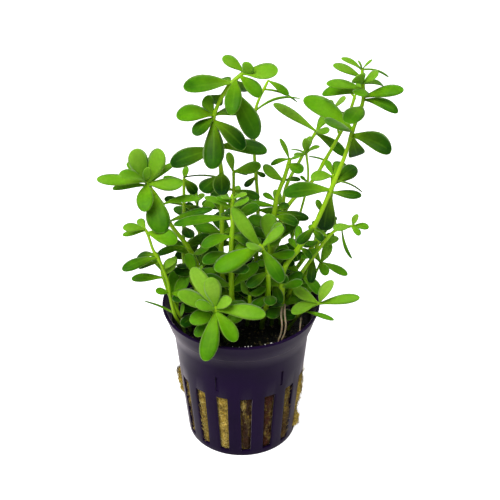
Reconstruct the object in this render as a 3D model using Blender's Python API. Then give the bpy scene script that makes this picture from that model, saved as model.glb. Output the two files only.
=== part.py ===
"""A potted Bacopa crenata: a net pot with a plug of mineral wool, and the shoots that grow from it.

Lengths are in millimetres up to the moment that a mesh is made, which is in metres. The origin is the
middle of the pot's underside, +Z is up and the side that the photo shows faces -Y.
"""

import math
from typing import NamedTuple

import bpy
from mathutils import Matrix, Vector
from mathutils.bvhtree import BVHTree

MM = 0.001
GAP = 0.3  # between pieces that touch

# Net pot: a standard 5 cm one, 55 mm across its rim
POT_HEIGHT = 54.5
RIM_RADIUS = 27.5
BAND_RADIUS = 25.2  # where the flared rim ends
BAND_Z = 47.0
WAIST_RADIUS = 23.6
WAIST_Z = 42.0
BASE_RADIUS = 19.5
WALL = 1.0
FLOOR = 1.3
POT_SIDES = 32

SLOTS = 16
FIRST_SLOT = math.radians(-85.7)
SLOT_TOP_Z = 28.0
SLOT_BOTTOM_Z = 2.4
SLOT_TOP_WIDTH = 4.2
SLOT_BOTTOM_WIDTH = 3.2

GROOVES = 6
FIRST_GROOVE = math.radians(-112.0)
GROOVE_WIDTH = 1.0
GROOVE_DEPTH = 0.5
GROOVE_Z = (31.0, 37.5)

FLOOR_SLOTS = 8
FLOOR_SLOT_WIDTH = 2.4
FLOOR_SLOT_REACH = (6.5, 15.0)

# Mineral wool: it fills the pot to a few millimetres under the rim and swells out of some slots
WOOL_TOP_Z = 49.0
WOOL_CROWN = 0.8
WOOL_SWELL = {  # slot: (height, how far the wool stands out of the wall), from bottom to top
    3: ((2.8, 0.9), (5.5, 1.9), (8.5, 1.7), (11.5, 0), (15, 0.5), (20, 1.4), (26, 1.2), (27.6, -0.2)),
    4: ((2.8, -0.2), (12, 0.6), (22, 0.8), (27.6, -0.3)),
    12: ((2.8, -0.3), (13, -0.2), (17, 1.2), (25, 1.6), (27.6, -0.1)),
    2: ((2.8, 0.1), (12, 0.4), (27.6, -0.3)),
    14: ((2.8, -0.2), (17, 0.3), (27.6, -0.2)),
    7: ((2.8, 0.2), (18, 0.5), (27.6, -0.2)),
}
WOOL_IN_SLOT = ((2.8, -0.3), (27.6, -0.2))

# Leaves and stems
STEM_SIDES = 5
RING_EVERY = 12.0
LEAF_THICK = 1.1
OWN_NODE_LENGTH = 14.0  # a leaf at least this long is a solid of its own
LEAF_WIDEST = 0.66
LEAF_ARCH = 0.06
PAIR_WIDTH = 0.42  # of a leaf in a plain pair, as a part of its length
LEAF_FOOT = 0.24  # the foot's width, as a part of the full width
LEAF_STEPS = (0.0, 0.3, LEAF_WIDEST, 0.86, 0.96)
SHORT_WIDEST = 0.72  # the plainer form of a short leaf: where it is widest and where it ends
SHORT_END = 0.96
SHORT_END_WIDTH = 0.48  # of its blunt end, as a part of the full width
SHORT_FLESH = (0.15, 0.6)  # below and above the midrib, as parts of the thickness
TO_LIGHT = (0.0, -0.45, 0.9)  # up, and a little to the front
EDGE_ON = (0.0, 0.55, 0.83)  # up and back, so the front sees the leaf's edge


class Leaf(NamedTuple):
    """A leaf: the height of its node, its reach from there to the tip, and its width."""

    z: float
    reach: tuple
    width: float
    face: tuple = TO_LIGHT


class Pairs(NamedTuple):
    """Opposite leaves, each pair turned a quarter from the one below it."""

    low: float
    high: float
    step: float
    turn: float
    length: float


class Shoot(NamedTuple):
    """A stem by the points it passes, its thickness at foot and tip, and its leaves."""

    path: tuple
    thick: tuple
    leaves: tuple
    pairs: tuple = ()


SHOOTS = {
    "tall_left": Shoot(
        path=((-5, 0, 49), (-6.5, -4, 74), (-6, -5.5, 93), (-6, -6.5, 111), (-8.2, -8, 128),
              (-6.6, -8, 135.5), (-3, -6.5, 141.5), (1, -4.5, 144.5), (3, -4, 146.5)),
        thick=(2.0, 1.1),
        leaves=(
            Leaf(145, (-6.4, 0, 5.2), 4.4),
            Leaf(145, (2.5, -3.8, 4.3), 4.4, (0.0, -1.0, 0.4)),
            Leaf(144.8, (10.8, -4.8, 2.8), 6.7),
            Leaf(144, (6.2, -6.9, -3.4), 4.8),
            Leaf(142, (-13.7, -7.3, 0.6), 6.9),
            Leaf(143, (-0.8, -11, -6.2), 5.4),
            Leaf(141, (7.5, -3.8, -15.9), 7.4),
            Leaf(138.5, (-2.3, 2.5, -6.5), 5, (0.0, -1.0, 0.3)),
            Leaf(142, (-2.7, 8.8, -2.9), 3.2),
            Leaf(143, (3.6, 7.9, -7.6), 3.4, (0.0, -1.0, 0.3)),
            Leaf(132, (-11.9, -3.8, 2.2), 6.6),
            Leaf(132.5, (-3.1, 0, 5.9), 4.6),
            Leaf(131, (-6.5, -6.8, -2.2), 4.8),
            Leaf(132, (7.5, 6, -2), 4.0),
            Leaf(130, (-0.9, -10.6, -10.7), 6.9),
            Leaf(130, (9.1, -7.8, -5.2), 6),
            Leaf(119, (-13.7, -4.8, -2.3), 6.8),
            Leaf(120, (14.7, 2.6, -2.9), 6),
            Leaf(110, (0.3, -9.2, -3), 5.8),
            Leaf(109, (-6.6, -5.8, -2.2), 5.8),
            Leaf(108, (-12.5, 3, -2), 2.4, EDGE_ON),
        ),
        pairs=Pairs(56, 96, 7.5, 20, 12),
    ),
    "slender": Shoot(
        path=((3, 5, 49), (5.5, 9, 68), (6, 11, 86), (5.4, 13, 97), (4.8, 14, 107), (5.3, 16, 121),
              (9.5, 18, 131)),
        thick=(1.5, 0.9),
        leaves=(
            Leaf(130.8, (6.6, -2.9, -3.9), 3),
            Leaf(128, (10.3, -3, -4.6), 2.2, EDGE_ON),
            Leaf(121, (13.9, -1.8, 5.7), 2.2, EDGE_ON),
            Leaf(97, (-3.5, -3.5, -2), 2.4),
            Leaf(99, (3, -3, -0.5), 2.0),
        ),
        pairs=Pairs(58, 88, 9, 70, 9.5),
    ),
    "tall_right": Shoot(
        path=((14, -5.5, 49), (14, -7.5, 62), (14.8, -8, 73.5), (20, -8, 82.5), (24.7, -8, 91),
              (29.4, -7, 103), (34, -5, 115.5), (36.2, -4, 124), (39, -4, 134), (38.8, -4, 140.5),
              (38.3, -4, 146)),
        thick=(2.1, 1.0),
        leaves=(
            Leaf(145.6, (-6.2, 0, 4.3), 2.2),
            Leaf(145.8, (-1.7, -1, 3.2), 0.9),
            Leaf(145.8, (2.9, 0.9, 2.8), 1),
            Leaf(142.5, (-9.5, -2, 5.1), 3.6),
            Leaf(145.5, (8.5, 2, -3.8), 2, EDGE_ON),
            Leaf(141, (-2, -3.3, 5.6), 5, (0.0, -1.0, 0.2)),
            Leaf(141, (4.1, -3.4, 5), 4.4),
            Leaf(140.5, (7.1, 5.9, -4), 2.6),
            Leaf(138.5, (-11.6, -3, 4.1), 3.8),
            Leaf(137, (-12.5, 3, -0.6), 4.6),
            Leaf(139, (-1.5, -7, 0.9), 5.4, (0.0, -0.5, 0.85)),
            Leaf(136, (11.9, -3.4, 4.7), 4.8),
            Leaf(135, (10.7, -3.9, -2.3), 4.3),
            Leaf(132.5, (-4.3, -13, 0.3), 6.4),
            Leaf(122.3, (12.6, -3.6, -3.7), 7.2),
            Leaf(122, (1.5, 2.2, -10.1), 5.6, (0.0, -1.0, 0.3)),
            Leaf(123.5, (-13, -4.7, 9.6), 6.6),
            Leaf(124, (-14.4, 3.5, 9.5), 7.2),
            Leaf(106, (7.7, 5.6, 2.3), 5.6),
            Leaf(107, (8.7, -2.1, -3.9), 2.2, (0.3, 0.5, 0.8)),
            Leaf(103.5, (-14.4, -2.8, 0.8), 6),
            Leaf(102.5, (-2.7, 2.1, -16.2), 6.6, (0.0, -1.0, 0.3)),
            Leaf(103, (9.9, -1.9, -0.4), 3.6),
            Leaf(90, (-4.9, -8, -1.8), 3.7),
            Leaf(89, (3.6, -4.5, -1.5), 2.8),
            Leaf(82, (4, -4.5, -1), 2.4),
            Leaf(80, (-7.3, 4, -4.2), 3.2),
            Leaf(81, (-2.8, 2.5, 2.7), 2.3),
            Leaf(81.5, (0.6, 2.5, 7), 2.8),
        ),
        pairs=Pairs(57, 72, 9, 50, 11.5),
    ),
    "behind_right": Shoot(
        path=((7, 2, 49), (10.5, 3, 70), (13, 4, 83), (17, 6, 91), (24.2, 8, 98), (28.5, 10, 105),
              (34, 12, 115.5), (36.5, 13, 122), (38, 13, 128)),
        thick=(1.8, 1.0),
        leaves=(
            Leaf(105, (-5.4, 0.5, 1), 1.6, EDGE_ON),
            Leaf(104, (2.8, 2.5, -4), 1.6, EDGE_ON),
            Leaf(127.5, (3, 5, 4), 2.6),
            Leaf(127, (-4, 6, 3), 2.6),
        ),
        pairs=Pairs(60, 78, 9, 15, 11),
    ),
    "side_right": Shoot(
        path=((32.9, 12.2, 116.2), (31.5, 12.2, 119.5), (31, 12, 124)),
        thick=(0.9, 0.7),
        leaves=(
            Leaf(123.5, (3.5, -4, 6), 3.6),
            Leaf(123.7, (-1.5, 0, 3), 2.0),
            Leaf(122.5, (4.8, 0, -1.1), 1.6, EDGE_ON),
            Leaf(122.5, (-4.5, 2, 1.5), 1.6, EDGE_ON),
        ),
    ),
    "lean_right": Shoot(
        path=((5, 8, 49), (9.5, 9, 64), (13.6, 10, 77), (15.5, 14, 91.5), (20.4, 19, 99.7),
              (23.4, 20.5, 105.4), (26.2, 21, 110.5)),
        thick=(1.7, 1.0),
        leaves=(
            Leaf(110, (-13.5, 1.8, 9.6), 4),
            Leaf(110, (3.6, -6, 3.4), 4.2),
            Leaf(109.5, (10.2, -3.8, -6.6), 4.2),
            Leaf(110, (4, 7, 3), 3.4),
        ),
        pairs=Pairs(58, 86, 9.5, 35, 10.5),
    ),
    "centre_right": Shoot(
        path=((8, -3, 49), (10, 0, 65), (10.8, 2, 78.5), (11.8, 2, 92.5), (13.3, 2, 99),
              (14.7, 2, 103), (16.6, 2, 110.5)),
        thick=(2.2, 1.3),
        leaves=(
            Leaf(110, (-3.1, 0, 7.8), 1.8),
            Leaf(110, (2.8, -4.8, 3.6), 2.4),
            Leaf(110, (-6, 1.9, -2.9), 2.4),
            Leaf(108.5, (3.9, -5.8, -0.3), 4.4),
            Leaf(102, (5.6, 3, -1), 2.2),
            Leaf(102, (-6.9, -2.8, 6.8), 4.8),
            Leaf(92, (-7.8, -4, 3.6), 2.6),
            Leaf(94, (-4.2, 1, 2.4), 2.2),
            Leaf(90, (4.2, 3.4, 0.2), 2.8),
            Leaf(89.5, (11.2, 1.2, -3), 3.8),
            Leaf(88, (7.2, -5.4, 0), 4.0),
            Leaf(87, (2.6, -5.6, -1.8), 3.4),
            Leaf(84, (-8.6, -1.9, 4.2), 5),
        ),
        pairs=Pairs(55, 70, 7.5, 80, 11.5),
    ),
    "plantlet": Shoot(
        path=((10, 9, 49), (16, 12, 66), (20.5, 14, 81), (23.2, 16, 94), (22.4, 16, 105)),
        thick=(1.1, 0.8),
        leaves=(
            Leaf(104.7, (-0.6, -1.9, 6.8), 3),
            Leaf(104.5, (4.4, -3.9, 4.5), 2.1),
            Leaf(104.3, (-5.2, 0.5, 1.4), 1.8, EDGE_ON),
            Leaf(104, (-4.1, -4.9, 2.5), 2.2),
            Leaf(104.5, (2, 5, 3), 2.4),
            Leaf(93, (-2.3, 0, 2.6), 1.4),
            Leaf(93, (3.8, -3, -1.4), 1.7),
        ),
        pairs=Pairs(62, 74, 10, 10, 8.5),
    ),
    "mid_right": Shoot(
        path=((12, 5, 49), (17.5, 4, 62), (24.5, 3, 75), (28.6, 2, 85), (30.3, 0, 98), (30.6, -1, 106)),
        thick=(1.6, 1.3),
        leaves=(
            Leaf(105.5, (3, 7.8, 0.9), 4.2),
            Leaf(105.2, (-7.3, -2.9, 1.4), 4.2),
            Leaf(105, (3, -4, 1.2), 2.4),
            Leaf(105.8, (-2.4, 3, 3.5), 2.4),
        ),
        pairs=Pairs(76, 76, 9.5, 60, 8.5),
    ),
    "far_left": Shoot(
        path=((-8, -2, 49), (-12.5, -2, 60.5), (-15.2, -3, 73), (-18.7, -4, 81.5), (-21.5, -5, 86.5),
              (-24, -6, 92), (-25.5, -7, 98.5), (-28.5, -8, 104.5), (-30.8, -8, 108.5)),
        thick=(2.0, 1.1),
        leaves=(
            Leaf(108, (-2.8, -1.8, 12.8), 6.8),
            Leaf(107.5, (5.6, -1, 12.4), 7.4),
            Leaf(108.3, (1.2, -3, 8.1), 2.8, (0.0, -1.0, 0.3)),
            Leaf(108, (-14.6, -1.8, 2.2), 4.6),
            Leaf(107.5, (-8.1, -7.8, 7.4), 4.6),
            Leaf(106.5, (-12.2, 3, -3.6), 3),
            Leaf(107, (-0.6, -9.8, -4.5), 5.6),
            Leaf(107, (11.4, -3.9, 1.2), 5.6),
            Leaf(106, (-7.6, 4.8, 6.7), 3.2),
            Leaf(106.5, (7.8, 5.9, 5.2), 2.6),
            Leaf(103, (1.5, -10.5, -8.6), 7.8),
            Leaf(98.5, (12.4, -2, 3.4), 3.0),
            Leaf(91, (13.4, -4, 6), 3.2),
            Leaf(80, (-9.6, -4, -0.5), 3.0),
        ),
        pairs=Pairs(55, 80, 7, 40, 12),
    ),
    "low_left": Shoot(
        path=((-19.3, -9.6, 49), (-22.4, -12, 57), (-23.8, -13.5, 66), (-24.3, -14.5, 73), (-26.5, -15, 81),
              (-28.6, -15, 86), (-29.9, -15.5, 92), (-30.8, -16, 95)),
        thick=(1.2, 0.9),
        leaves=(
            Leaf(94.6, (-6.9, -2.9, 2.6), 3.5),
            Leaf(94, (-7.7, 1, -2.3), 2.4, (0.0, -0.4, 0.9)),
            Leaf(94.6, (-2.2, 2.9, 2), 2.8),
            Leaf(93, (9.8, -4.8, -0.8), 6),
            Leaf(83, (-11.4, -5.8, -0.5), 4.2),
            Leaf(84, (-6.7, 4.9, -3.8), 3.2),
            Leaf(81, (-7.2, 2.9, -4.3), 2.6),
            Leaf(68, (-4.1, -2.4, 2.3), 3),
            Leaf(58.5, (-10, -1, 5.4), 1.8, EDGE_ON),
        ),
    ),
    "low_left_inner": Shoot(
        path=((-17.2, -8.8, 49), (-20.6, -10.6, 55.5), (-22.9, -11.6, 62), (-25, -12, 69),
              (-26.4, -12.5, 76.5)),
        thick=(1.3, 1.0),
        leaves=(
            Leaf(73, (-10.4, -2, 1), 3.4),
            Leaf(59, (-1.2, 3, 12.6), 4.6),
            Leaf(62, (4.3, 4, 9), 4.2),
            Leaf(76, (4.5, -5, 4), 3.4),
            Leaf(76, (-3, 4, 4.5), 3.0),
            Leaf(66, (8, -5, 3.5), 4.2),
            Leaf(56, (1.1, -3, 6), 3.8),
            Leaf(74, (5.1, -1, 7.1), 4),
        ),
    ),
    "front": Shoot(
        path=((-5, -15, 49), (-7, -18.5, 57), (-8, -22, 64), (-8.3, -23.4, 69)),
        thick=(1.7, 1.3),
        leaves=(
            Leaf(68.4, (-4.9, 1.1, 13.5), 5.8),
            Leaf(68.8, (-0.8, -1.7, 13.3), 5.8),
            Leaf(67, (-9.5, -3.5, 10.4), 6),
            Leaf(68, (-6, -4.4, 4.7), 4.8),
            Leaf(68, (5.1, -2.5, 5.7), 4.8),
            Leaf(67.5, (15.4, -3.7, 1.3), 6),
            Leaf(66.8, (-2.2, -11.1, -11.5), 6.3),
            Leaf(67, (5.2, -8.8, -6.3), 5.2),
            Leaf(63, (-8.8, -3, 2), 6.0),
            Leaf(59.5, (-8, -4, -1.6), 4.6),
            Leaf(58, (8, 3, 3), 4.6),
            Leaf(56, (-9, 3, 2), 4.2),
            Leaf(55, (-3, 9, 2.5), 4.2),
        ),
    ),
    "front_centre": Shoot(
        path=((7, -7.5, 49), (9, -11, 62), (9.2, -13.5, 75), (8, -15.5, 84), (6.2, -16.5, 89)),
        thick=(1.9, 1.4),
        leaves=(
            Leaf(88, (-13.3, -7, -4.5), 7.2),
            Leaf(87.5, (-3.4, -8, 7), 5.2),
            Leaf(86.5, (5.8, -8.5, -7.2), 5.2),
            Leaf(88, (-6.6, 0, 15.8), 4.6, (0.0, -1.0, 0.35)),
            Leaf(87.5, (7.5, 4, 5), 4.0),
            Leaf(76, (-6.5, -6, -2), 4.2),
            Leaf(76, (6.5, -5.5, 0), 4.2),
            Leaf(65, (1.5, -9, 2.5), 4.6),
        ),
        pairs=Pairs(56, 66, 9, 0, 10.5),
    ),
    "centre_bud": Shoot(
        path=((10.5, -6, 49), (11.5, -5, 62), (10, -5, 74), (9.2, -6, 84)),
        thick=(1.5, 1.1),
        leaves=(
            Leaf(83.5, (0.2, 2, 9.2), 5.8),
            Leaf(83, (4.2, -3, 8.4), 5.2),
            Leaf(72, (-8.1, -4, -4.4), 6.6),
            Leaf(73, (-4.7, -4, 3.2), 3.0),
            Leaf(65, (5.8, -6, -3.6), 3.6),
            Leaf(80, (3.6, 2.4, 2.7), 2.6),
            Leaf(80, (-3.8, -3.6, 2.2), 2.6),
        ),
        pairs=Pairs(56, 78, 7, 65, 11.5),
    ),
    "centre": Shoot(
        path=((-2, -7, 49), (-3, -12, 64), (-3.1, -14.5, 79), (-3, -15, 88), (-2.4, -15, 96),
              (-2.5, -15, 107)),
        thick=(2.1, 1.3),
        leaves=(
            Leaf(105.5, (-3.6, -4, 2.8), 2.2),
            Leaf(105.5, (5.1, -4, 3.2), 2.2),
            Leaf(102, (-8.8, -3, 6), 2.6),
            Leaf(104, (-4.6, -3, 3.7), 2.2),
            Leaf(98, (-17.6, -4, 1.5), 3.7),
            Leaf(102.5, (4.2, -8, 2.7), 3.6),
            Leaf(97, (8.5, 5, 2.5), 4.2),
            Leaf(91, (-9.3, -5, -0.5), 4.4),
            Leaf(91, (5, 2.8, -3.7), 5.2),
        ),
        pairs=Pairs(56, 90, 7, 25, 12),
    ),
    "middle": Shoot(
        path=((-1, 1, 49), (-3, 2, 66), (-2.6, 3, 82), (-2.2, 4, 94), (-2.1, 4, 105)),
        thick=(1.4, 1.0),
        leaves=(
            Leaf(104.5, (-1.1, 0, 7.3), 2.8),
            Leaf(104.3, (9.1, -2.9, 3.9), 5),
            Leaf(104, (4.5, 2.4, -2), 2.0),
            Leaf(97, (8.6, -2, -1.6), 3.6),
            Leaf(97, (-7, 3, -1), 3.4),
        ),
        pairs=Pairs(56, 92, 7.5, 55, 11.5),
    ),
    "mid_left": Shoot(
        path=((-11, 2, 49), (-16, 1, 60), (-19.4, 0, 71), (-19, 2, 87), (-18.7, 4, 102)),
        thick=(1.6, 1.0),
        leaves=(
            Leaf(101.5, (3.6, -2, -4.6), 4.0),
            Leaf(101.7, (1, 1, 4.2), 2.2),
            Leaf(101, (-7, 3, -1), 2.0),
            Leaf(92, (-6.5, 4, 1), 3.2),
            Leaf(92, (6.5, -3, -1), 3.2),
        ),
        pairs=Pairs(56, 86, 7, 75, 11),
    ),
    "rim_right": Shoot(
        path=((16, -9, 49), (20.5, -8.8, 55.5), (24.3, -8.2, 58), (27.6, -8, 59.4)),
        thick=(1.3, 1.0),
        leaves=(
            Leaf(59.2, (4.1, -1.8, 9.8), 4.2),
            Leaf(59, (13.7, -2, 4.8), 4),
            Leaf(58.7, (-9, -6.9, 1.7), 4.4),
            Leaf(58.9, (-8.8, -1, 6.5), 4.8),
            Leaf(56.5, (9.6, -4.7, -0.8), 2),
        ),
    ),
    "thin_right": Shoot(
        path=((20.5, 0, 49), (23, 1.5, 57), (25.7, 2, 64), (27.7, 2, 69.5)),
        thick=(0.9, 0.8),
        leaves=(
            Leaf(69, (1.6, -4.9, -1.9), 3.5),
            Leaf(69.2, (9, -3, -3.3), 3.2),
            Leaf(69.3, (3.3, -0.9, 8.2), 3.8),
            Leaf(69, (-3.5, 6, 2), 3.2),
        ),
    ),
    "far_right": Shoot(
        path=((13.5, -2, 49), (17, -2, 60), (22, -2.5, 70), (28.4, -3, 81), (31.7, -4, 86),
              (35, -4.3, 87.3), (38.2, -4.3, 88.4)),
        thick=(1.7, 0.8),
        leaves=(
            Leaf(88.2, (1.2, -1, 5), 2.2),
            Leaf(88.2, (5.2, -0.9, 0.5), 2.8),
            Leaf(88, (2.8, -3.3, -1.5), 2.4),
            Leaf(87.9, (-5.7, -4.2, 1.2), 3.3),
            Leaf(86, (-0.5, 0.4, 5.1), 1.8),
            Leaf(87, (2.5, -3.1, -10.3), 1.6, (-0.6, -0.8, 0.2)),
            Leaf(83, (-5.5, 4.5, 3), 3.2),
            Leaf(78, (6.2, 4.5, 2), 3.2),
            Leaf(78, (-5.8, -4.6, -1), 3.2),
        ),
        pairs=Pairs(58, 70, 9, 45, 10),
    ),
    "lower_right": Shoot(
        path=((17.5, 2, 49), (20.5, 1, 60), (24, 0.5, 70), (26.4, 0, 79), (27.4, -0.5, 87), (27.8, -0.5, 91)),
        thick=(1.5, 1.1),
        leaves=(
            Leaf(61, (-9.5, -6.5, -1), 4.2),
            Leaf(72, (-1.6, -5.8, -6.2), 3.5),
            Leaf(78, (5.5, 4, 1.5), 3.2),
            Leaf(79, (-4.2, -4.4, 1.5), 2.6),
            Leaf(86, (-3.4, -3.2, 2.6), 2.4),
            Leaf(86, (3.8, 3.4, 2.4), 2.4),
            Leaf(90.5, (2.4, -2.6, 3.8), 2.2),
            Leaf(90.5, (-2.2, 2.8, 3.6), 2.2),
            Leaf(64, (-1.6, -4, 1.4), 3.2),
        ),
    ),
    "inner_left": Shoot(
        path=((-12, -6, 49), (-14, -7.5, 57), (-15, -8.5, 66), (-15.5, -9, 72)),
        thick=(1.5, 1.1),
        leaves=(Leaf(71.5, (-2, 3, 7), 4.0), Leaf(71.5, (2.5, -4, 6), 4.0)),
        pairs=Pairs(54, 70, 5.5, 35, 11.5),
    ),
    "inner_middle": Shoot(
        path=((2, -6, 49), (3, -8.5, 57), (3, -10, 65)),
        thick=(1.5, 1.1),
        leaves=(
            Leaf(64.5, (-3, -3, 7), 4.4),
            Leaf(64.5, (5, -4, 5), 4.4),
            Leaf(58, (-8.2, 3, 0.9), 4.4),
            Leaf(58, (4.2, 4, 0.1), 4.4),
            Leaf(61, (-3.4, 8, 1.1), 4.4),
        ),
    ),
    "back_left": Shoot(
        path=((-9, 8, 49), (-12.5, 12, 62), (-14.5, 14, 75), (-15, 14, 86)),
        thick=(1.6, 1.1),
        leaves=(Leaf(85.5, (-2, 3, 6), 3.0), Leaf(85.5, (2.5, -3, 5.5), 3.0)),
        pairs=Pairs(54, 84, 6.5, 30, 11.5),
    ),
    "back_middle": Shoot(
        path=((-1, 12, 49), (-2, 16, 62), (-3, 18.5, 74), (-3.5, 19, 83)),
        thick=(1.6, 1.1),
        leaves=(Leaf(82.5, (-3, -2, 6), 3.0), Leaf(82.5, (3, 2, 6), 3.0)),
        pairs=Pairs(54, 81, 6.5, 5, 11.5),
    ),
    "back_right": Shoot(
        path=((9, 13, 49), (12, 17, 61), (14, 20, 72), (14.5, 21, 80)),
        thick=(1.5, 1.1),
        leaves=(Leaf(79.5, (-2.5, 3, 5.6), 3.0), Leaf(79.5, (1.6, -3, 3.2), 2.4)),
        pairs=Pairs(54, 72, 6.5, 60, 10.5),
    ),
}

# Roots that hang from the feet of two stems down to the wool
ROOTS = {
    "root_1": ((13.9, -11.5, 60.5), (13.7, -13.8, 58.5), (13.9, -15.7, 55.4), (13.5, -16.7, 52),
               (12.4, -17.3, 50)),
    "root_2": ((14.9, -10.6, 60.5), (14.9, -13.2, 58.9), (15.2, -15.3, 55.2), (14.8, -16.4, 52.1),
               (13.5, -17, 50)),
    "root_3": ((20.6, -10.3, 54.6), (20.4, -11.6, 52.8), (20.2, -12.3, 50.2)),
}
ROOT_THICK = (0.8, 0.5)


def clear_scene():
    for item in list(bpy.data.objects):
        bpy.data.objects.remove(item, do_unlink=True)


def material(name, colour, roughness, metallic=0.0):
    """One Principled material, made the first time that it is asked for."""
    if name in bpy.data.materials:
        return bpy.data.materials[name]
    made = bpy.data.materials.new(name)
    made.use_nodes = True
    shader = made.node_tree.nodes["Principled BSDF"]
    shader.inputs["Base Color"].default_value = (*colour, 1.0)
    shader.inputs["Roughness"].default_value = roughness
    shader.inputs["Metallic"].default_value = metallic
    return made


def pot_plastic():
    return material("violet_black_plastic", (0.018, 0.011, 0.028), 0.38)


def wool_fibre():
    return material("mineral_wool", (0.27, 0.19, 0.07), 0.95)


def leaf_green():
    return material("leaf_green", (0.13, 0.36, 0.03), 0.42)


def stem_green():
    return material("stem_green", (0.36, 0.52, 0.06), 0.45)


def root_cream():
    return material("root_cream", (0.55, 0.48, 0.30), 0.6)


def add_mesh(name, points, faces, mat, smooth=True):
    """An object whose mesh has these points, given in millimetres."""
    mesh = bpy.data.meshes.new(name)
    mesh.from_pydata([Vector(p) * MM for p in points], [], faces)
    mesh.validate()
    mesh.materials.append(mat)
    if smooth:
        mesh.shade_smooth()
        mesh.set_sharp_from_angle(angle=math.radians(40))
    made = bpy.data.objects.new(name, mesh)
    bpy.context.scene.collection.objects.link(made)
    return made


def as_helper(item):
    item.hide_render = True
    item.display_type = "WIRE"
    return item


def combine(item, other, operation):
    """A live Boolean of item with another object or with every object of a collection."""
    modifier = item.modifiers.new(operation.lower(), "BOOLEAN")
    modifier.operation = operation
    modifier.solver = "EXACT"
    if isinstance(other, bpy.types.Collection):
        modifier.operand_type = "COLLECTION"
        modifier.collection = other
    else:
        modifier.object = other


def turned(profile, sides):
    """Points and faces of a profile of (radius, z) turned about Z; a radius of 0 is one point."""
    points, rings, faces = [], [], []
    for radius, z in profile:
        count = 1 if radius == 0 else sides
        rings.append(range(len(points), len(points) + count))
        for k in range(count):
            angle = 2 * math.pi * k / sides
            points.append((radius * math.cos(angle), radius * math.sin(angle), z))
    for low, high in zip(rings, rings[1:]):
        for k in range(sides):
            a, b = low[k % len(low)], low[(k + 1) % len(low)]
            c, d = high[(k + 1) % len(high)], high[k % len(high)]
            faces.append(list(dict.fromkeys((a, b, c, d))))
    return points, faces


def wall_radius(z):
    """The pot's outer radius at height z."""
    steps = ((0, BASE_RADIUS), (WAIST_Z, WAIST_RADIUS), (BAND_Z, BAND_RADIUS), (POT_HEIGHT, RIM_RADIUS))
    for (z0, r0), (z1, r1) in zip(steps, steps[1:]):
        if z <= z1:
            return r0 + (r1 - r0) * (z - z0) / (z1 - z0)
    return RIM_RADIUS


def upright_wedges(name, wedges, mat):
    """A mesh of separate upright pieces, each (angle, inner radius, its steps of (z, width, outer))."""
    points, faces = [], []
    for angle, inner, steps in wedges:
        along = Vector((math.cos(angle), math.sin(angle), 0))
        across = Vector((-math.sin(angle), math.cos(angle), 0))
        first = len(points)
        for z, width, outer in steps:
            for radius, side in ((inner, -1), (outer, -1), (outer, 1), (inner, 1)):
                points.append(along * radius + across * (side * width / 2) + Vector((0, 0, z)))
        last = len(points) - 4
        faces += [[first + 3, first + 2, first + 1, first], [last, last + 1, last + 2, last + 3]]
        for low in range(first, last, 4):
            for n in range(4):
                a, b = low + n, low + (n + 1) % 4
                faces.append([a, b, b + 4, a + 4])
    return add_mesh(name, points, faces, mat, smooth=False)


def slot_angles():
    return [FIRST_SLOT + 2 * math.pi * k / SLOTS for k in range(SLOTS)]


def make_pot():
    lip = 0.45
    profile = [
        (0, 0), (BASE_RADIUS - lip, 0), (BASE_RADIUS, lip), (wall_radius(SLOT_TOP_Z), SLOT_TOP_Z),
        (WAIST_RADIUS, WAIST_Z), (BAND_RADIUS - 0.35, BAND_Z), (BAND_RADIUS + 0.1, BAND_Z + 0.3),
        (RIM_RADIUS, POT_HEIGHT - lip), (RIM_RADIUS - lip / 2, POT_HEIGHT),
        (RIM_RADIUS - WALL, POT_HEIGHT), (RIM_RADIUS - WALL - 0.2, POT_HEIGHT - lip),
        (BAND_RADIUS - WALL, BAND_Z), (WAIST_RADIUS - WALL, WAIST_Z),
        (wall_radius(FLOOR) - WALL, FLOOR), (0, FLOOR),
    ]
    pot = add_mesh("net_pot", *turned(profile, POT_SIDES), pot_plastic())
    inner, outside = BASE_RADIUS - 4, RIM_RADIUS
    slot_steps = ((SLOT_BOTTOM_Z, SLOT_BOTTOM_WIDTH, outside), (SLOT_TOP_Z, SLOT_TOP_WIDTH, outside))
    slots = [(angle, inner, slot_steps) for angle in slot_angles()]
    groove_floor = wall_radius(GROOVE_Z[0]) - GROOVE_DEPTH / 2
    groove_steps = [(z, GROOVE_WIDTH, outside) for z in GROOVE_Z]
    grooves = [
        (FIRST_GROOVE + 2 * math.pi * k / GROOVES, groove_floor, groove_steps) for k in range(GROOVES)
    ]
    floor_inner, floor_outer = FLOOR_SLOT_REACH
    floor_steps = [(z, FLOOR_SLOT_WIDTH, floor_outer) for z in (-1, FLOOR + 1)]
    floor_slots = [
        (2 * math.pi * (k + 0.5) / FLOOR_SLOTS, floor_inner, floor_steps) for k in range(FLOOR_SLOTS)
    ]
    for name, wedges in (("slots", slots), ("grooves", grooves), ("floor_slots", floor_slots)):
        combine(pot, as_helper(upright_wedges(f"cutter_{name}", wedges, pot_plastic())), "DIFFERENCE")
    return pot


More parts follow.
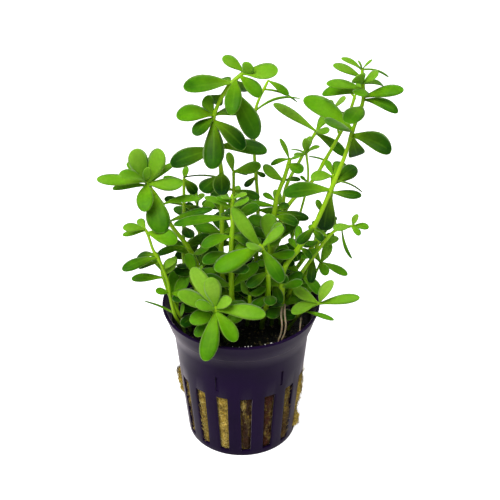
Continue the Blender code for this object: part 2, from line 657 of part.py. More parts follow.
def make_wool():
    low = FLOOR + GAP
    inside = WALL + GAP
    profile = [
        (0, low), (wall_radius(low) - inside - 0.2, low), (WAIST_RADIUS - inside, WAIST_Z),
        (BAND_RADIUS - inside - 0.2, WOOL_TOP_Z - WOOL_CROWN), (12, WOOL_TOP_Z - 0.2), (0, WOOL_TOP_Z),
    ]
    wool = add_mesh("mineral_wool", *turned(profile, POT_SIDES // 2), wool_fibre())
    ribs = []
    for k, angle in enumerate(slot_angles()):
        steps = []
        for z, swell in WOOL_SWELL.get(k, WOOL_IN_SLOT):
            up = (z - SLOT_BOTTOM_Z) / (SLOT_TOP_Z - SLOT_BOTTOM_Z)
            slot_width = SLOT_BOTTOM_WIDTH + (SLOT_TOP_WIDTH - SLOT_BOTTOM_WIDTH) * up
            steps.append((z, slot_width - 2 * GAP, wall_radius(z) + swell))
        ribs.append((angle, BASE_RADIUS - 4, steps))
    combine(wool, as_helper(upright_wedges("wool_ribs", ribs, wool_fibre())), "UNION")
    return wool


def smooth_path(points, every):
    """Points along a smooth curve through the given ones, about this far apart."""
    points = [Vector(p) for p in points]
    ends = [2 * points[0] - points[1], *points, 2 * points[-1] - points[-2]]
    made = []
    for a, b, c, d in zip(ends, ends[1:], ends[2:], ends[3:]):
        count = max(1, round((c - b).length / every))
        for k in range(count):
            t = k / count
            made.append(0.5 * (2 * b + (c - a) * t + (2 * a - 5 * b + 4 * c - d) * t**2
                               + (3 * b - a - 3 * c + d) * t**3))
    return [*made, points[-1]]


def tube(path, thick, sides):
    """Points and faces of a tube along a path, closed at both ends."""
    side = Vector((1, 0, 0))
    points, faces = [], []
    for k, centre in enumerate(path):
        along = (path[min(k + 1, len(path) - 1)] - path[max(k - 1, 0)]).normalized()
        side = (side - along * side.dot(along)).normalized()
        other = along.cross(side)
        radius = (thick[0] + (thick[1] - thick[0]) * k / (len(path) - 1)) / 2
        for n in range(sides):
            angle = 2 * math.pi * n / sides
            points.append(centre + (side * math.cos(angle) + other * math.sin(angle)) * radius)
    for k in range(len(path) - 1):
        for n in range(sides):
            a, b = k * sides + n, k * sides + (n + 1) % sides
            faces.append([a, b, b + sides, a + sides])
    faces.append(list(range(sides))[::-1])
    faces.append([len(points) - sides + n for n in range(sides)])
    return points, faces


def leaf_outline(t):
    """Half the leaf's width at t of its length, as a part of half its full width."""
    if t < LEAF_WIDEST:
        return LEAF_FOOT + (1 - LEAF_FOOT) * math.sin(math.pi / 2 * t / LEAF_WIDEST) ** 1.5
    return math.sqrt(max(0.0, 1 - ((t - LEAF_WIDEST) / (1 - LEAF_WIDEST)) ** 2))


def leaf_frame(start, reach, face):
    """The point at t of the midrib, as a function, and the leaf's own sideways and upward directions."""
    along = reach.normalized()
    up = face - along * face.dot(along)
    up = up.normalized() if up.length > 1e-3 else along.orthogonal().normalized()
    arch = LEAF_ARCH * reach.length

    def midrib(t):
        return start + reach * t + up * (4 * arch * t * (1 - t))

    return midrib, up.cross(along), up


def blade(start, reach, width, face, thick=LEAF_THICK):
    """Points and faces of a long leaf: a lens-shaped section at each step, and a point for its tip."""
    midrib, side, up = leaf_frame(start, reach, face)
    points, faces = [], []
    for t in LEAF_STEPS:
        half = leaf_outline(t) * width / 2
        flesh = thick * (0.55 - 0.2 * t)
        middle = midrib(t)
        points += [middle - side * half, middle - up * flesh, middle + side * half, middle + up * flesh]
    points.append(midrib(1.0))
    for k in range(len(LEAF_STEPS) - 1):
        for n in range(4):
            a, b = 4 * k + n, 4 * k + (n + 1) % 4
            faces.append([a, b, b + 4, a + 4])
    last = 4 * (len(LEAF_STEPS) - 1)
    for n in range(4):
        faces.append([last + n, last + (n + 1) % 4, len(points) - 1])
    faces.append([3, 2, 1, 0])
    return points, faces


def small_blade(start, reach, width, face, thick=LEAF_THICK):
    """The plainer form of a short leaf: a point at its foot, a ridged section where it is widest and a
    blunt tip."""
    midrib, side, up = leaf_frame(start, reach, face)
    below, above = SHORT_FLESH
    widest, tip = midrib(SHORT_WIDEST), midrib(SHORT_END)
    low, half_end = widest - up * (thick * below), width * SHORT_END_WIDTH / 2
    points = [
        start, low - side * (width / 2), low + side * (width / 2), widest + up * (thick * above),
        tip - side * half_end, tip + side * half_end,
    ]
    return points, [[0, 2, 1], [0, 3, 2], [0, 1, 3], [1, 2, 5, 4], [3, 5, 2], [3, 1, 4], [3, 4, 5]]


class Stem:
    """A stem's smooth path, which gives the point, direction and radius at a height."""

    def __init__(self, shoot):
        self.path = smooth_path(shoot.path, RING_EVERY)
        self.thick = shoot.thick

    def at(self, z):
        last = len(self.path) - 2
        for k, (low, high) in enumerate(zip(self.path, self.path[1:])):
            if z <= high.z or k == last:
                part = min(1.0, max(0.0, (z - low.z) / max(high.z - low.z, 1e-6)))
                done = (k + part) / (len(self.path) - 1)
                radius = (self.thick[0] + (self.thick[1] - self.thick[0]) * done) / 2
                return low.lerp(high, part), (high - low).normalized(), radius


def pair_leaves(shoot):
    """The leaves of a shoot's opposite pairs, which get shorter towards its tip."""
    if not shoot.pairs:
        return []
    rule = shoot.pairs
    made = []
    count = int((rule.high - rule.low) / rule.step) + 1
    for k in range(count):
        z = rule.low + k * rule.step
        length = rule.length * (1 - 0.12 * k / count)
        for turn in (rule.turn + 90 * k, rule.turn + 90 * k + 180):
            angle = math.radians(turn + 9 * math.sin(5 * k + turn))
            rise = math.radians(18 + 14 * math.sin(3 * k + 2 * turn))
            flat = length * math.cos(rise)
            reach = (flat * math.cos(angle), flat * math.sin(angle), length * math.sin(rise))
            made.append(Leaf(z, reach, length * PAIR_WIDTH))
    return made


def turned_tries():
    """Turns to try, as (upward, sideways) in degrees, smallest first."""
    steps = range(-48, 49, 6)
    tries = [(a, b) for a in steps for b in steps]
    return sorted(tries, key=lambda pair: (pair[0] ** 2 + pair[1] ** 2, pair))


TRIES = turned_tries()


class Crowd:
    """The pieces placed so far, to keep each new leaf clear of them."""

    def __init__(self):
        self.pieces = []

    def add(self, name, points, faces):
        low = Vector([min(p[k] for p in points) for k in range(3)])
        high = Vector([max(p[k] for p in points) for k in range(3)])
        tree = BVHTree.FromPolygons([Vector(p) for p in points], faces)
        self.pieces.append((name, low, high, tree))

    def blocked(self, points, faces, near=None, far=None):
        """Whether it meets a piece, of shoot near alone or of any shoot but far when these are given."""
        low = Vector([min(p[k] for p in points) for k in range(3)])
        high = Vector([max(p[k] for p in points) for k in range(3)])
        tree = BVHTree.FromPolygons(points, faces)
        for name, a, b, other in self.pieces:
            if name == far or (near and name != near):
                continue
            apart = any(low[k] > b[k] or high[k] < a[k] for k in range(3))
            if not apart and tree.overlap(other):
                return True
        return False


def turned_reach(reach, rise, swing):
    """A leaf's reach turned about Z by swing and lifted by rise, both in degrees."""
    turned_to = Vector(reach)
    turned_to.rotate(Matrix.Rotation(math.radians(swing), 3, "Z"))
    flat = Vector((-turned_to.y, turned_to.x, 0))
    if flat.length > 1e-6:
        turned_to.rotate(Matrix.Rotation(math.radians(-rise), 3, flat.normalized()))
    return turned_to


def place_leaf(name, stem, leaf, crowd, own_node):
    """The start, reach and face of a leaf, turned as little as clears it of the crowd, or None."""
    centre, along, radius = stem.at(leaf.z)
    room = 2 * GAP
    face = Vector(leaf.face)
    for rise, swing in TRIES:
        reach = turned_reach(leaf.reach, rise, swing)
        outward = reach - along * reach.dot(along)
        outward = outward.normalized() if outward.length > 1e-6 else along.orthogonal().normalized()
        start = centre + outward * (radius + GAP + 0.25 if own_node else radius * 0.35)
        fat = (leaf.width + room, face, LEAF_THICK + room)
        if any(crowd.blocked(*form(start, reach, *fat), far=name) for form in (blade, small_blade)):
            continue
        past_foot = 0.0 if own_node else (radius * 0.65 + room + 0.3) / reach.length
        beyond = blade(start + reach * past_foot, reach * (1 - past_foot), *fat)
        if not crowd.blocked(*beyond, near=name):
            return start, reach, face
    return None


def make_leaf(name, place, width, own_node):
    start, reach, face = place
    form = blade if own_node else small_blade
    points, faces = form(start, reach, width, face)
    return points, faces, add_mesh(name, points, faces, leaf_green())


def make_stems(crowd):
    stems = {}
    for name, shoot in SHOOTS.items():
        stem = Stem(shoot)
        stem.path[0] = stem.path[0] + Vector((0, 0, GAP + 0.1))
        points, faces = tube(stem.path, shoot.thick, STEM_SIDES)
        crowd.add(name, points, faces)
        item = add_mesh(f"stem_{name}", points, faces, stem_green())
        item.data.materials.append(leaf_green())
        stems[name] = (stem, item)
    return stems


def make_leaves(stems, crowd):
    """Long leaves get a solid of their own; the others are fused to their stem."""
    wanted = []
    for name, shoot in SHOOTS.items():
        wanted += [(name, leaf) for leaf in shoot.leaves]
    wanted.sort(key=lambda pair: -Vector(pair[1].reach).length)
    for name, shoot in SHOOTS.items():
        wanted += [(name, leaf) for leaf in pair_leaves(shoot)]
    counts = dict.fromkeys(SHOOTS, 0)
    fused = {name: bpy.data.collections.new(f"leaves_{name}") for name in SHOOTS}
    for name, leaf in wanted:
        stem, item = stems[name]
        own_node = Vector(leaf.reach).length >= OWN_NODE_LENGTH
        place = place_leaf(name, stem, leaf, crowd, own_node)
        if place is None:
            continue
        counts[name] += 1
        label = f"leaf_{name}_{counts[name]}"
        points, faces, made = make_leaf(label, place, leaf.width, own_node)
        crowd.add(name, points, faces)
        if not own_node:
            bpy.context.scene.collection.objects.unlink(made)
            fused[name].objects.link(as_helper(made))
    for name, collection in fused.items():
        if collection.objects:
            bpy.context.scene.collection.children.link(collection)
            combine(stems[name][1], collection, "UNION")


def make_roots(crowd):
    for name, path in ROOTS.items():
        points, faces = tube(smooth_path(path, 2.5), ROOT_THICK, 5)
        crowd.add(name, points, faces)
        add_mesh(name, points, faces, root_cream())


def crowd_of_pot():
    """A crowd that holds the pot's outer form and the top of the wool."""
    crowd = Crowd()
    profile = [(0, 0), (BASE_RADIUS, 0), (WAIST_RADIUS, WAIST_Z), (BAND_RADIUS, BAND_Z),
               (RIM_RADIUS, POT_HEIGHT), (RIM_RADIUS - WALL, POT_HEIGHT), (BAND_RADIUS - WALL, BAND_Z),
               (BAND_RADIUS - WALL - 0.2, WOOL_TOP_Z), (0, WOOL_TOP_Z)]
    crowd.add("net_pot", *turned(profile, POT_SIDES // 2))
    return crowd


def main():
    clear_scene()
    make_pot()
    make_wool()
    crowd = crowd_of_pot()
    make_roots(crowd)
    stems = make_stems(crowd)
    make_leaves(stems, crowd)


main()
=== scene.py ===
"""The looks of a potted Bacopa crenata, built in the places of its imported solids.

Sizes are millimetres up to the moment that a mesh is made, in metres, and angles are given in degrees. +Z
is up, the front of the pot faces -Y, and the middle of the pot's underside is the origin.
"""

import math
import random
from typing import NamedTuple

import bmesh
import bpy
from mathutils import Matrix, Vector, noise
from mathutils.bvhtree import BVHTree


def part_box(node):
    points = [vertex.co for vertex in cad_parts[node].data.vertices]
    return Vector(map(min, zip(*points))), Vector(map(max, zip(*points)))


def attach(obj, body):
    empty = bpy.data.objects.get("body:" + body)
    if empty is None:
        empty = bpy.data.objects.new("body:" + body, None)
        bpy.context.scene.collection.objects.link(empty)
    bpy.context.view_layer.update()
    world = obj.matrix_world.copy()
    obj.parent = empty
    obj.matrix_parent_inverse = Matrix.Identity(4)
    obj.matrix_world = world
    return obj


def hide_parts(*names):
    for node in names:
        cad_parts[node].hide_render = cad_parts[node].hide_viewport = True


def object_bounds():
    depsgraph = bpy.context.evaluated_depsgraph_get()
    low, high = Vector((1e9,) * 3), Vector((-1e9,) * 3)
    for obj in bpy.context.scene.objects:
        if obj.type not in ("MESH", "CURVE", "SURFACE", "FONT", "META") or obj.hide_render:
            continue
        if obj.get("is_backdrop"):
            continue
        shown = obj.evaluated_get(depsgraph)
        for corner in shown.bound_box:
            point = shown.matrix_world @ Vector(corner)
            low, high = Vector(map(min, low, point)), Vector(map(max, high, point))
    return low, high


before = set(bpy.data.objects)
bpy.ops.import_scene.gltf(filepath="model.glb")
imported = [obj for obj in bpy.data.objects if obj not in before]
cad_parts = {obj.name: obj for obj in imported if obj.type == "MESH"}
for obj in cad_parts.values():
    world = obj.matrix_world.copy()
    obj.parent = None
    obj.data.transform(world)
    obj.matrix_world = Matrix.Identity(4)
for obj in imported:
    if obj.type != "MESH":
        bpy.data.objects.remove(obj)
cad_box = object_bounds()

MM = 0.001
GAP = 0.3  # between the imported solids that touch

# View of the photo, which is 500 pixels wide and high
PHOTO_SIDE = 500
FOCAL_PIXELS = 1408.5
SENSOR_WIDTH = 36.0
LOOKS_AT = Vector((3.2, 0.0, 75.7))
CAMERA_DISTANCE = 480.0
CAMERA_ELEVATION = math.radians(33.58)
CAMERA_ROLL = math.radians(-0.28)

# Net pot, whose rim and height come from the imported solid
POT_LOW, POT_HIGH = (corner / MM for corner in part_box("net_pot"))
POT_HEIGHT = round(POT_HIGH.z, 2)
RIM_RADIUS = round((POT_HIGH.x - POT_LOW.x) / 2, 2)
BAND_RADIUS = 25.2
BAND_Z = 47.0
WAIST_RADIUS = 23.6
WAIST_Z = 42.0
SHOULDER_Z = 35.0  # rows of the wall between the slots and the rim
FLARE_Z = 51.0
BASE_RADIUS = 19.5
WALL = 1.0
FLOOR = 1.3
POT_SIDES = 32
EDGE_ROUNDING = 0.16
ROUNDED_EDGES = math.radians(60)  # edges sharper than this are rounded
SHARP_EDGES = math.radians(35)  # and those left sharper than this are shaded sharp

SLOTS = 16
FIRST_SLOT = math.radians(-85.7)
SLOT_TOP_Z = 28.0
SLOT_BOTTOM_Z = 2.4
SLOT_TOP_WIDTH = 4.2
SLOT_BOTTOM_WIDTH = 3.2

GROOVES = 6
FIRST_GROOVE = math.radians(-112.0)
GROOVE_WIDTH = 1.0
GROOVE_DEPTH = 0.5
GROOVE_Z = (31.0, 37.5)

FLOOR_SLOTS = 8
FLOOR_SLOT_WIDTH = 2.4
FLOOR_SLOT_REACH = (6.5, 15.0)

# Mineral wool
WOOL_TOP_Z = round(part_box("mineral_wool")[1].z / MM, 2)
WOOL_SWELL = {  # slot: (height, how far the wool stands out of the wall), from bottom to top
    3: ((2.8, 0.9), (5.5, 1.9), (8.5, 1.7), (11.5, 0), (15, 0.5), (20, 1.4), (26, 1.2), (27.6, -0.2)),
    4: ((2.8, -0.2), (12, 0.6), (22, 0.8), (27.6, -0.3)),
    12: ((2.8, -0.3), (13, -0.2), (17, 1.2), (25, 1.6), (27.6, -0.1)),
    2: ((2.8, 0.1), (12, 0.4), (27.6, -0.3)),
    14: ((2.8, -0.2), (17, 0.3), (27.6, -0.2)),
    7: ((2.8, 0.2), (18, 0.5), (27.6, -0.2)),
}
WOOL_IN_SLOT = ((2.8, -0.3), (27.6, -0.2))
WOOL_STAIN = {  # slot: how brown and how rusty the wool in it is
    15: (0.05, 0.0), 14: (0.2, 0.1), 0: (0.85, 0.15), 1: (0.75, 0.9), 2: (0.5, 0.35), 3: (0.05, 0.0),
    13: (0.7, 0.1), 12: (0.2, 0.0), 4: (0.1, 0.0),
}
WOOL_PLAIN_STAIN = (0.35, 0.1)
WOOL_TOP_STAIN = (0.6, 0.1)
WOOL_UNDER_STAIN = (0.5, 0.1)
WOOL_DAMP_AND_SHADE = ((24, 0.0), (34, 0.35), (42, 1.0))  # (height, how wet the wool is and how much painted shade darkens it)
WOOL_BULGE_FROM = 0.2  # how far inside a slot's ends the wool starts to bulge out
WOOL_BULGE_WITHIN = 1.2  # how much further in it stands out in full
WOOL_SUNK = 0.45  # how far the wool between its clumps lies under its measured surface
WOOL_CLUMPS = 0.6  # how far its clumps stand in or out
WOOL_STEPS = (8, 4)  # columns of its skin across a slot, and across a rib
WOOL_ROWS = 44  # rows up its side
WOOL_RINGS = 16  # rings over its top
WOOL_CROWN = 0.8  # how far its edge lies under its highest point
CRUMBS_FROM_Z = WOOL_TOP_Z - 1.6
CRUMBS_WITHIN = 21.5  # of the pot's middle line
PER_SQUARE_MM = 1e6  # one for each square millimetre, in pieces for each square metre

FLOOR_REACH = 3000.0

# Leaves and stems
RING_EVERY = 12.0
FINE_RING = 1.3
STEM_SIDES = 5
FINE_SIDES = 10
LEAF_THICK = 1.1
LEAF_FLESH = 0.62  # how thick a real leaf is along its midrib
OWN_NODE_LENGTH = 14.0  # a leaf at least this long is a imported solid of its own
LEAF_WIDEST = 0.66
LEAF_ARCH = 0.06
PAIR_WIDTH = 0.42  # of a leaf in a plain pair, as a part of its length
LEAF_FOOT = 0.24  # the foot's width, as a part of the full width
FOOT_CLEAR = 0.25  # of a long leaf from its stem, past the gap
FOOT_SUNK = 0.35  # where a short leaf starts in its stem, as a part of the stem's radius
FOOT_FREE = 0.3  # how much further out, past the gap, it may still touch its own shoot
LEAF_STEPS = (0.0, 0.3, LEAF_WIDEST, 0.86, 0.96)
SHORT_WIDEST = 0.72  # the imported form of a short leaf: where it is widest and where it ends
SHORT_END = 0.96
SHORT_END_WIDTH = 0.48  # of its blunt end, as a part of the full width
SHORT_FLESH = (0.15, 0.6)  # below and above the midrib, as parts of the thickness
TO_LIGHT = (0.0, -0.45, 0.9)  # up, and a little to the front
TO_FRONT = (0.0, -1.0, 0.3)  # to the front, and a little up
EDGE_ON = (0.0, 0.55, 0.83)  # up and back, so the front sees the leaf's edge


class Leaf(NamedTuple):
    """A leaf: the height of its node, its reach from there to the tip, and its width."""

    z: float
    reach: tuple
    width: float
    face: tuple = TO_LIGHT


class Pairs(NamedTuple):
    """Opposite leaves, each pair turned a quarter from the one below it."""

    low: float
    high: float
    step: float
    turn: float
    length: float


class Shoot(NamedTuple):
    """A stem by the points it passes, its thickness at foot and tip, and its leaves."""

    path: tuple
    thick: tuple
    leaves: tuple
    pairs: tuple = ()


SHOOTS = {
    "tall_left": Shoot(
        path=((-5, 0, 49), (-6.5, -4, 74), (-6, -5.5, 93), (-6, -6.5, 111), (-8.2, -8, 128),
              (-6.6, -8, 135.5), (-3, -6.5, 141.5), (1, -4.5, 144.5), (3, -4, 146.5)),
        thick=(2.0, 1.1),
        leaves=(
            Leaf(145, (-6.4, 0, 5.2), 4.4), Leaf(145, (2.5, -3.8, 4.3), 4.4, (0.0, -1.0, 0.4)),
            Leaf(144.8, (10.8, -4.8, 2.8), 6.7), Leaf(144, (6.2, -6.9, -3.4), 4.8),
            Leaf(142, (-13.7, -7.3, 0.6), 6.9), Leaf(143, (-0.8, -11, -6.2), 5.4),
            Leaf(141, (7.5, -3.8, -15.9), 7.4), Leaf(138.5, (-2.3, 2.5, -6.5), 5, TO_FRONT),
            Leaf(142, (-2.7, 8.8, -2.9), 3.2), Leaf(143, (3.6, 7.9, -7.6), 3.4, TO_FRONT),
            Leaf(132, (-11.9, -3.8, 2.2), 6.6), Leaf(132.5, (-3.1, 0, 5.9), 4.6),
            Leaf(131, (-6.5, -6.8, -2.2), 4.8), Leaf(132, (7.5, 6, -2), 4.0),
            Leaf(130, (-0.9, -10.6, -10.7), 6.9), Leaf(130, (9.1, -7.8, -5.2), 6),
            Leaf(119, (-13.7, -4.8, -2.3), 6.8), Leaf(120, (14.7, 2.6, -2.9), 6),
            Leaf(110, (0.3, -9.2, -3), 5.8), Leaf(109, (-6.6, -5.8, -2.2), 5.8),
            Leaf(108, (-12.5, 3, -2), 2.4, EDGE_ON),
        ),
        pairs=Pairs(56, 96, 7.5, 20, 12),
    ),
    "slender": Shoot(
        path=((3, 5, 49), (5.5, 9, 68), (6, 11, 86), (5.4, 13, 97), (4.8, 14, 107), (5.3, 16, 121),
              (9.5, 18, 131)),
        thick=(1.5, 0.9),
        leaves=(
            Leaf(130.8, (6.6, -2.9, -3.9), 3), Leaf(128, (10.3, -3, -4.6), 2.2, EDGE_ON),
            Leaf(121, (13.9, -1.8, 5.7), 2.2, EDGE_ON), Leaf(97, (-3.5, -3.5, -2), 2.4),
            Leaf(99, (3, -3, -0.5), 2.0),
        ),
        pairs=Pairs(58, 88, 9, 70, 9.5),
    ),
    "tall_right": Shoot(
        path=((14, -5.5, 49), (14, -7.5, 62), (14.8, -8, 73.5), (20, -8, 82.5), (24.7, -8, 91),
              (29.4, -7, 103), (34, -5, 115.5), (36.2, -4, 124), (39, -4, 134), (38.8, -4, 140.5),
              (38.3, -4, 146)),
        thick=(2.1, 1.0),
        leaves=(
            Leaf(145.6, (-6.2, 0, 4.3), 2.2), Leaf(145.8, (-1.7, -1, 3.2), 0.9),
            Leaf(145.8, (2.9, 0.9, 2.8), 1), Leaf(142.5, (-9.5, -2, 5.1), 3.6),
            Leaf(145.5, (8.5, 2, -3.8), 2, EDGE_ON), Leaf(141, (-2, -3.3, 5.6), 5, (0.0, -1.0, 0.2)),
            Leaf(141, (4.1, -3.4, 5), 4.4), Leaf(140.5, (7.1, 5.9, -4), 2.6),
            Leaf(138.5, (-11.6, -3, 4.1), 3.8), Leaf(137, (-12.5, 3, -0.6), 4.6),
            Leaf(139, (-1.5, -7, 0.9), 5.4, (0.0, -0.5, 0.85)), Leaf(136, (11.9, -3.4, 4.7), 4.8),
            Leaf(135, (10.7, -3.9, -2.3), 4.3), Leaf(132.5, (-4.3, -13, 0.3), 6.4),
            Leaf(122.3, (12.6, -3.6, -3.7), 7.2), Leaf(122, (1.5, 2.2, -10.1), 5.6, TO_FRONT),
            Leaf(123.5, (-13, -4.7, 9.6), 6.6), Leaf(124, (-14.4, 3.5, 9.5), 7.2),
            Leaf(106, (7.7, 5.6, 2.3), 5.6), Leaf(107, (8.7, -2.1, -3.9), 2.2, (0.3, 0.5, 0.8)),
            Leaf(103.5, (-14.4, -2.8, 0.8), 6), Leaf(102.5, (-2.7, 2.1, -16.2), 6.6, TO_FRONT),
            Leaf(103, (9.9, -1.9, -0.4), 3.6), Leaf(90, (-4.9, -8, -1.8), 3.7),
            Leaf(89, (3.6, -4.5, -1.5), 2.8), Leaf(82, (4, -4.5, -1), 2.4), Leaf(80, (-7.3, 4, -4.2), 3.2),
            Leaf(81, (-2.8, 2.5, 2.7), 2.3), Leaf(81.5, (0.6, 2.5, 7), 2.8),
        ),
        pairs=Pairs(57, 72, 9, 50, 11.5),
    ),
    "behind_right": Shoot(
        path=((7, 2, 49), (10.5, 3, 70), (13, 4, 83), (17, 6, 91), (24.2, 8, 98), (28.5, 10, 105),
              (34, 12, 115.5), (36.5, 13, 122), (38, 13, 128)),
        thick=(1.8, 1.0),
        leaves=(
            Leaf(105, (-5.4, 0.5, 1), 1.6, EDGE_ON), Leaf(104, (2.8, 2.5, -4), 1.6, EDGE_ON),
            Leaf(127.5, (3, 5, 4), 2.6), Leaf(127, (-4, 6, 3), 2.6),
        ),
        pairs=Pairs(60, 78, 9, 15, 11),
    ),
    "side_right": Shoot(
        path=((32.9, 12.2, 116.2), (31.5, 12.2, 119.5), (31, 12, 124)),
        thick=(0.9, 0.7),
        leaves=(
            Leaf(123.5, (3.5, -4, 6), 3.6), Leaf(123.7, (-1.5, 0, 3), 2.0),
            Leaf(122.5, (4.8, 0, -1.1), 1.6, EDGE_ON), Leaf(122.5, (-4.5, 2, 1.5), 1.6, EDGE_ON),
        ),
    ),
    "lean_right": Shoot(
        path=((5, 8, 49), (9.5, 9, 64), (13.6, 10, 77), (15.5, 14, 91.5), (20.4, 19, 99.7),
              (23.4, 20.5, 105.4), (26.2, 21, 110.5)),
        thick=(1.7, 1.0),
        leaves=(
            Leaf(110, (-13.5, 1.8, 9.6), 4), Leaf(110, (3.6, -6, 3.4), 4.2),
            Leaf(109.5, (10.2, -3.8, -6.6), 4.2), Leaf(110, (4, 7, 3), 3.4),
        ),
        pairs=Pairs(58, 86, 9.5, 35, 10.5),
    ),
    "centre_right": Shoot(
        path=((8, -3, 49), (10, 0, 65), (10.8, 2, 78.5), (11.8, 2, 92.5), (13.3, 2, 99),
              (14.7, 2, 103), (16.6, 2, 110.5)),
        thick=(2.2, 1.3),
        leaves=(
            Leaf(110, (-3.1, 0, 7.8), 1.8), Leaf(110, (2.8, -4.8, 3.6), 2.4),
            Leaf(110, (-6, 1.9, -2.9), 2.4), Leaf(108.5, (3.9, -5.8, -0.3), 4.4),
            Leaf(102, (5.6, 3, -1), 2.2), Leaf(102, (-6.9, -2.8, 6.8), 4.8), Leaf(92, (-7.8, -4, 3.6), 2.6),
            Leaf(94, (-4.2, 1, 2.4), 2.2), Leaf(90, (4.2, 3.4, 0.2), 2.8), Leaf(89.5, (11.2, 1.2, -3), 3.8),
            Leaf(88, (7.2, -5.4, 0), 4.0), Leaf(87, (2.6, -5.6, -1.8), 3.4), Leaf(84, (-8.6, -1.9, 4.2), 5),
        ),
        pairs=Pairs(55, 70, 7.5, 80, 11.5),
    ),
    "plantlet": Shoot(
        path=((10, 9, 49), (16, 12, 66), (20.5, 14, 81), (23.2, 16, 94), (22.4, 16, 105)),
        thick=(1.1, 0.8),
        leaves=(
            Leaf(104.7, (-0.6, -1.9, 6.8), 3), Leaf(104.5, (4.4, -3.9, 4.5), 2.1),
            Leaf(104.3, (-5.2, 0.5, 1.4), 1.8, EDGE_ON), Leaf(104, (-4.1, -4.9, 2.5), 2.2),
            Leaf(104.5, (2, 5, 3), 2.4), Leaf(93, (-2.3, 0, 2.6), 1.4), Leaf(93, (3.8, -3, -1.4), 1.7),
        ),
        pairs=Pairs(62, 74, 10, 10, 8.5),
    ),
    "mid_right": Shoot(
        path=((12, 5, 49), (17.5, 4, 62), (24.5, 3, 75), (28.6, 2, 85), (30.3, 0, 98), (30.6, -1, 106)),
        thick=(1.6, 1.3),
        leaves=(
            Leaf(105.5, (3, 7.8, 0.9), 4.2), Leaf(105.2, (-7.3, -2.9, 1.4), 4.2),
            Leaf(105, (3, -4, 1.2), 2.4), Leaf(105.8, (-2.4, 3, 3.5), 2.4),
        ),
        pairs=Pairs(76, 76, 9.5, 60, 8.5),
    ),
    "far_left": Shoot(
        path=((-8, -2, 49), (-12.5, -2, 60.5), (-15.2, -3, 73), (-18.7, -4, 81.5), (-21.5, -5, 86.5),
              (-24, -6, 92), (-25.5, -7, 98.5), (-28.5, -8, 104.5), (-30.8, -8, 108.5)),
        thick=(2.0, 1.1),
        leaves=(
            Leaf(108, (-2.8, -1.8, 12.8), 6.8), Leaf(107.5, (5.6, -1, 12.4), 7.4),
            Leaf(108.3, (1.2, -3, 8.1), 2.8, TO_FRONT), Leaf(108, (-14.6, -1.8, 2.2), 4.6),
            Leaf(107.5, (-8.1, -7.8, 7.4), 4.6), Leaf(106.5, (-12.2, 3, -3.6), 3),
            Leaf(107, (-0.6, -9.8, -4.5), 5.6), Leaf(107, (11.4, -3.9, 1.2), 5.6),
            Leaf(106, (-7.6, 4.8, 6.7), 3.2), Leaf(106.5, (7.8, 5.9, 5.2), 2.6),
            Leaf(103, (1.5, -10.5, -8.6), 7.8), Leaf(98.5, (12.4, -2, 3.4), 3.0),
            Leaf(91, (13.4, -4, 6), 3.2), Leaf(80, (-9.6, -4, -0.5), 3.0),
        ),
        pairs=Pairs(55, 80, 7, 40, 12),
    ),
    "low_left": Shoot(
        path=((-19.3, -9.6, 49), (-22.4, -12, 57), (-23.8, -13.5, 66), (-24.3, -14.5, 73), (-26.5, -15, 81),
              (-28.6, -15, 86), (-29.9, -15.5, 92), (-30.8, -16, 95)),
        thick=(1.2, 0.9),
        leaves=(
            Leaf(94.6, (-6.9, -2.9, 2.6), 3.5), Leaf(94, (-7.7, 1, -2.3), 2.4, (0.0, -0.4, 0.9)),
            Leaf(94.6, (-2.2, 2.9, 2), 2.8), Leaf(93, (9.8, -4.8, -0.8), 6),
            Leaf(83, (-11.4, -5.8, -0.5), 4.2), Leaf(84, (-6.7, 4.9, -3.8), 3.2),
            Leaf(81, (-7.2, 2.9, -4.3), 2.6), Leaf(68, (-4.1, -2.4, 2.3), 3),
            Leaf(58.5, (-10, -1, 5.4), 1.8, EDGE_ON),
        ),
    ),
    "low_left_inner": Shoot(
        path=((-17.2, -8.8, 49), (-20.6, -10.6, 55.5), (-22.9, -11.6, 62), (-25, -12, 69),
              (-26.4, -12.5, 76.5)),
        thick=(1.3, 1.0),
        leaves=(
            Leaf(73, (-10.4, -2, 1), 3.4), Leaf(59, (-1.2, 3, 12.6), 4.6), Leaf(62, (4.3, 4, 9), 4.2),
            Leaf(76, (4.5, -5, 4), 3.4), Leaf(76, (-3, 4, 4.5), 3.0), Leaf(66, (8, -5, 3.5), 4.2),
            Leaf(56, (1.1, -3, 6), 3.8), Leaf(74, (5.1, -1, 7.1), 4),
        ),
    ),
    "front": Shoot(
        path=((-5, -15, 49), (-7, -18.5, 57), (-8, -22, 64), (-8.3, -23.4, 69)),
        thick=(1.7, 1.3),
        leaves=(
            Leaf(68.4, (-4.9, 1.1, 13.5), 5.8), Leaf(68.8, (-0.8, -1.7, 13.3), 5.8),
            Leaf(67, (-9.5, -3.5, 10.4), 6), Leaf(68, (-6, -4.4, 4.7), 4.8),
            Leaf(68, (5.1, -2.5, 5.7), 4.8), Leaf(67.5, (15.4, -3.7, 1.3), 6),
            Leaf(66.8, (-2.2, -11.1, -11.5), 6.3), Leaf(67, (5.2, -8.8, -6.3), 5.2),
            Leaf(63, (-8.8, -3, 2), 6.0), Leaf(59.5, (-8, -4, -1.6), 4.6), Leaf(58, (8, 3, 3), 4.6),
            Leaf(56, (-9, 3, 2), 4.2), Leaf(55, (-3, 9, 2.5), 4.2),
        ),
    ),
    "front_centre": Shoot(
        path=((7, -7.5, 49), (9, -11, 62), (9.2, -13.5, 75), (8, -15.5, 84), (6.2, -16.5, 89)),
        thick=(1.9, 1.4),
        leaves=(
            Leaf(88, (-13.3, -7, -4.5), 7.2), Leaf(87.5, (-3.4, -8, 7), 5.2),
            Leaf(86.5, (5.8, -8.5, -7.2), 5.2), Leaf(88, (-6.6, 0, 15.8), 4.6, (0.0, -1.0, 0.35)),
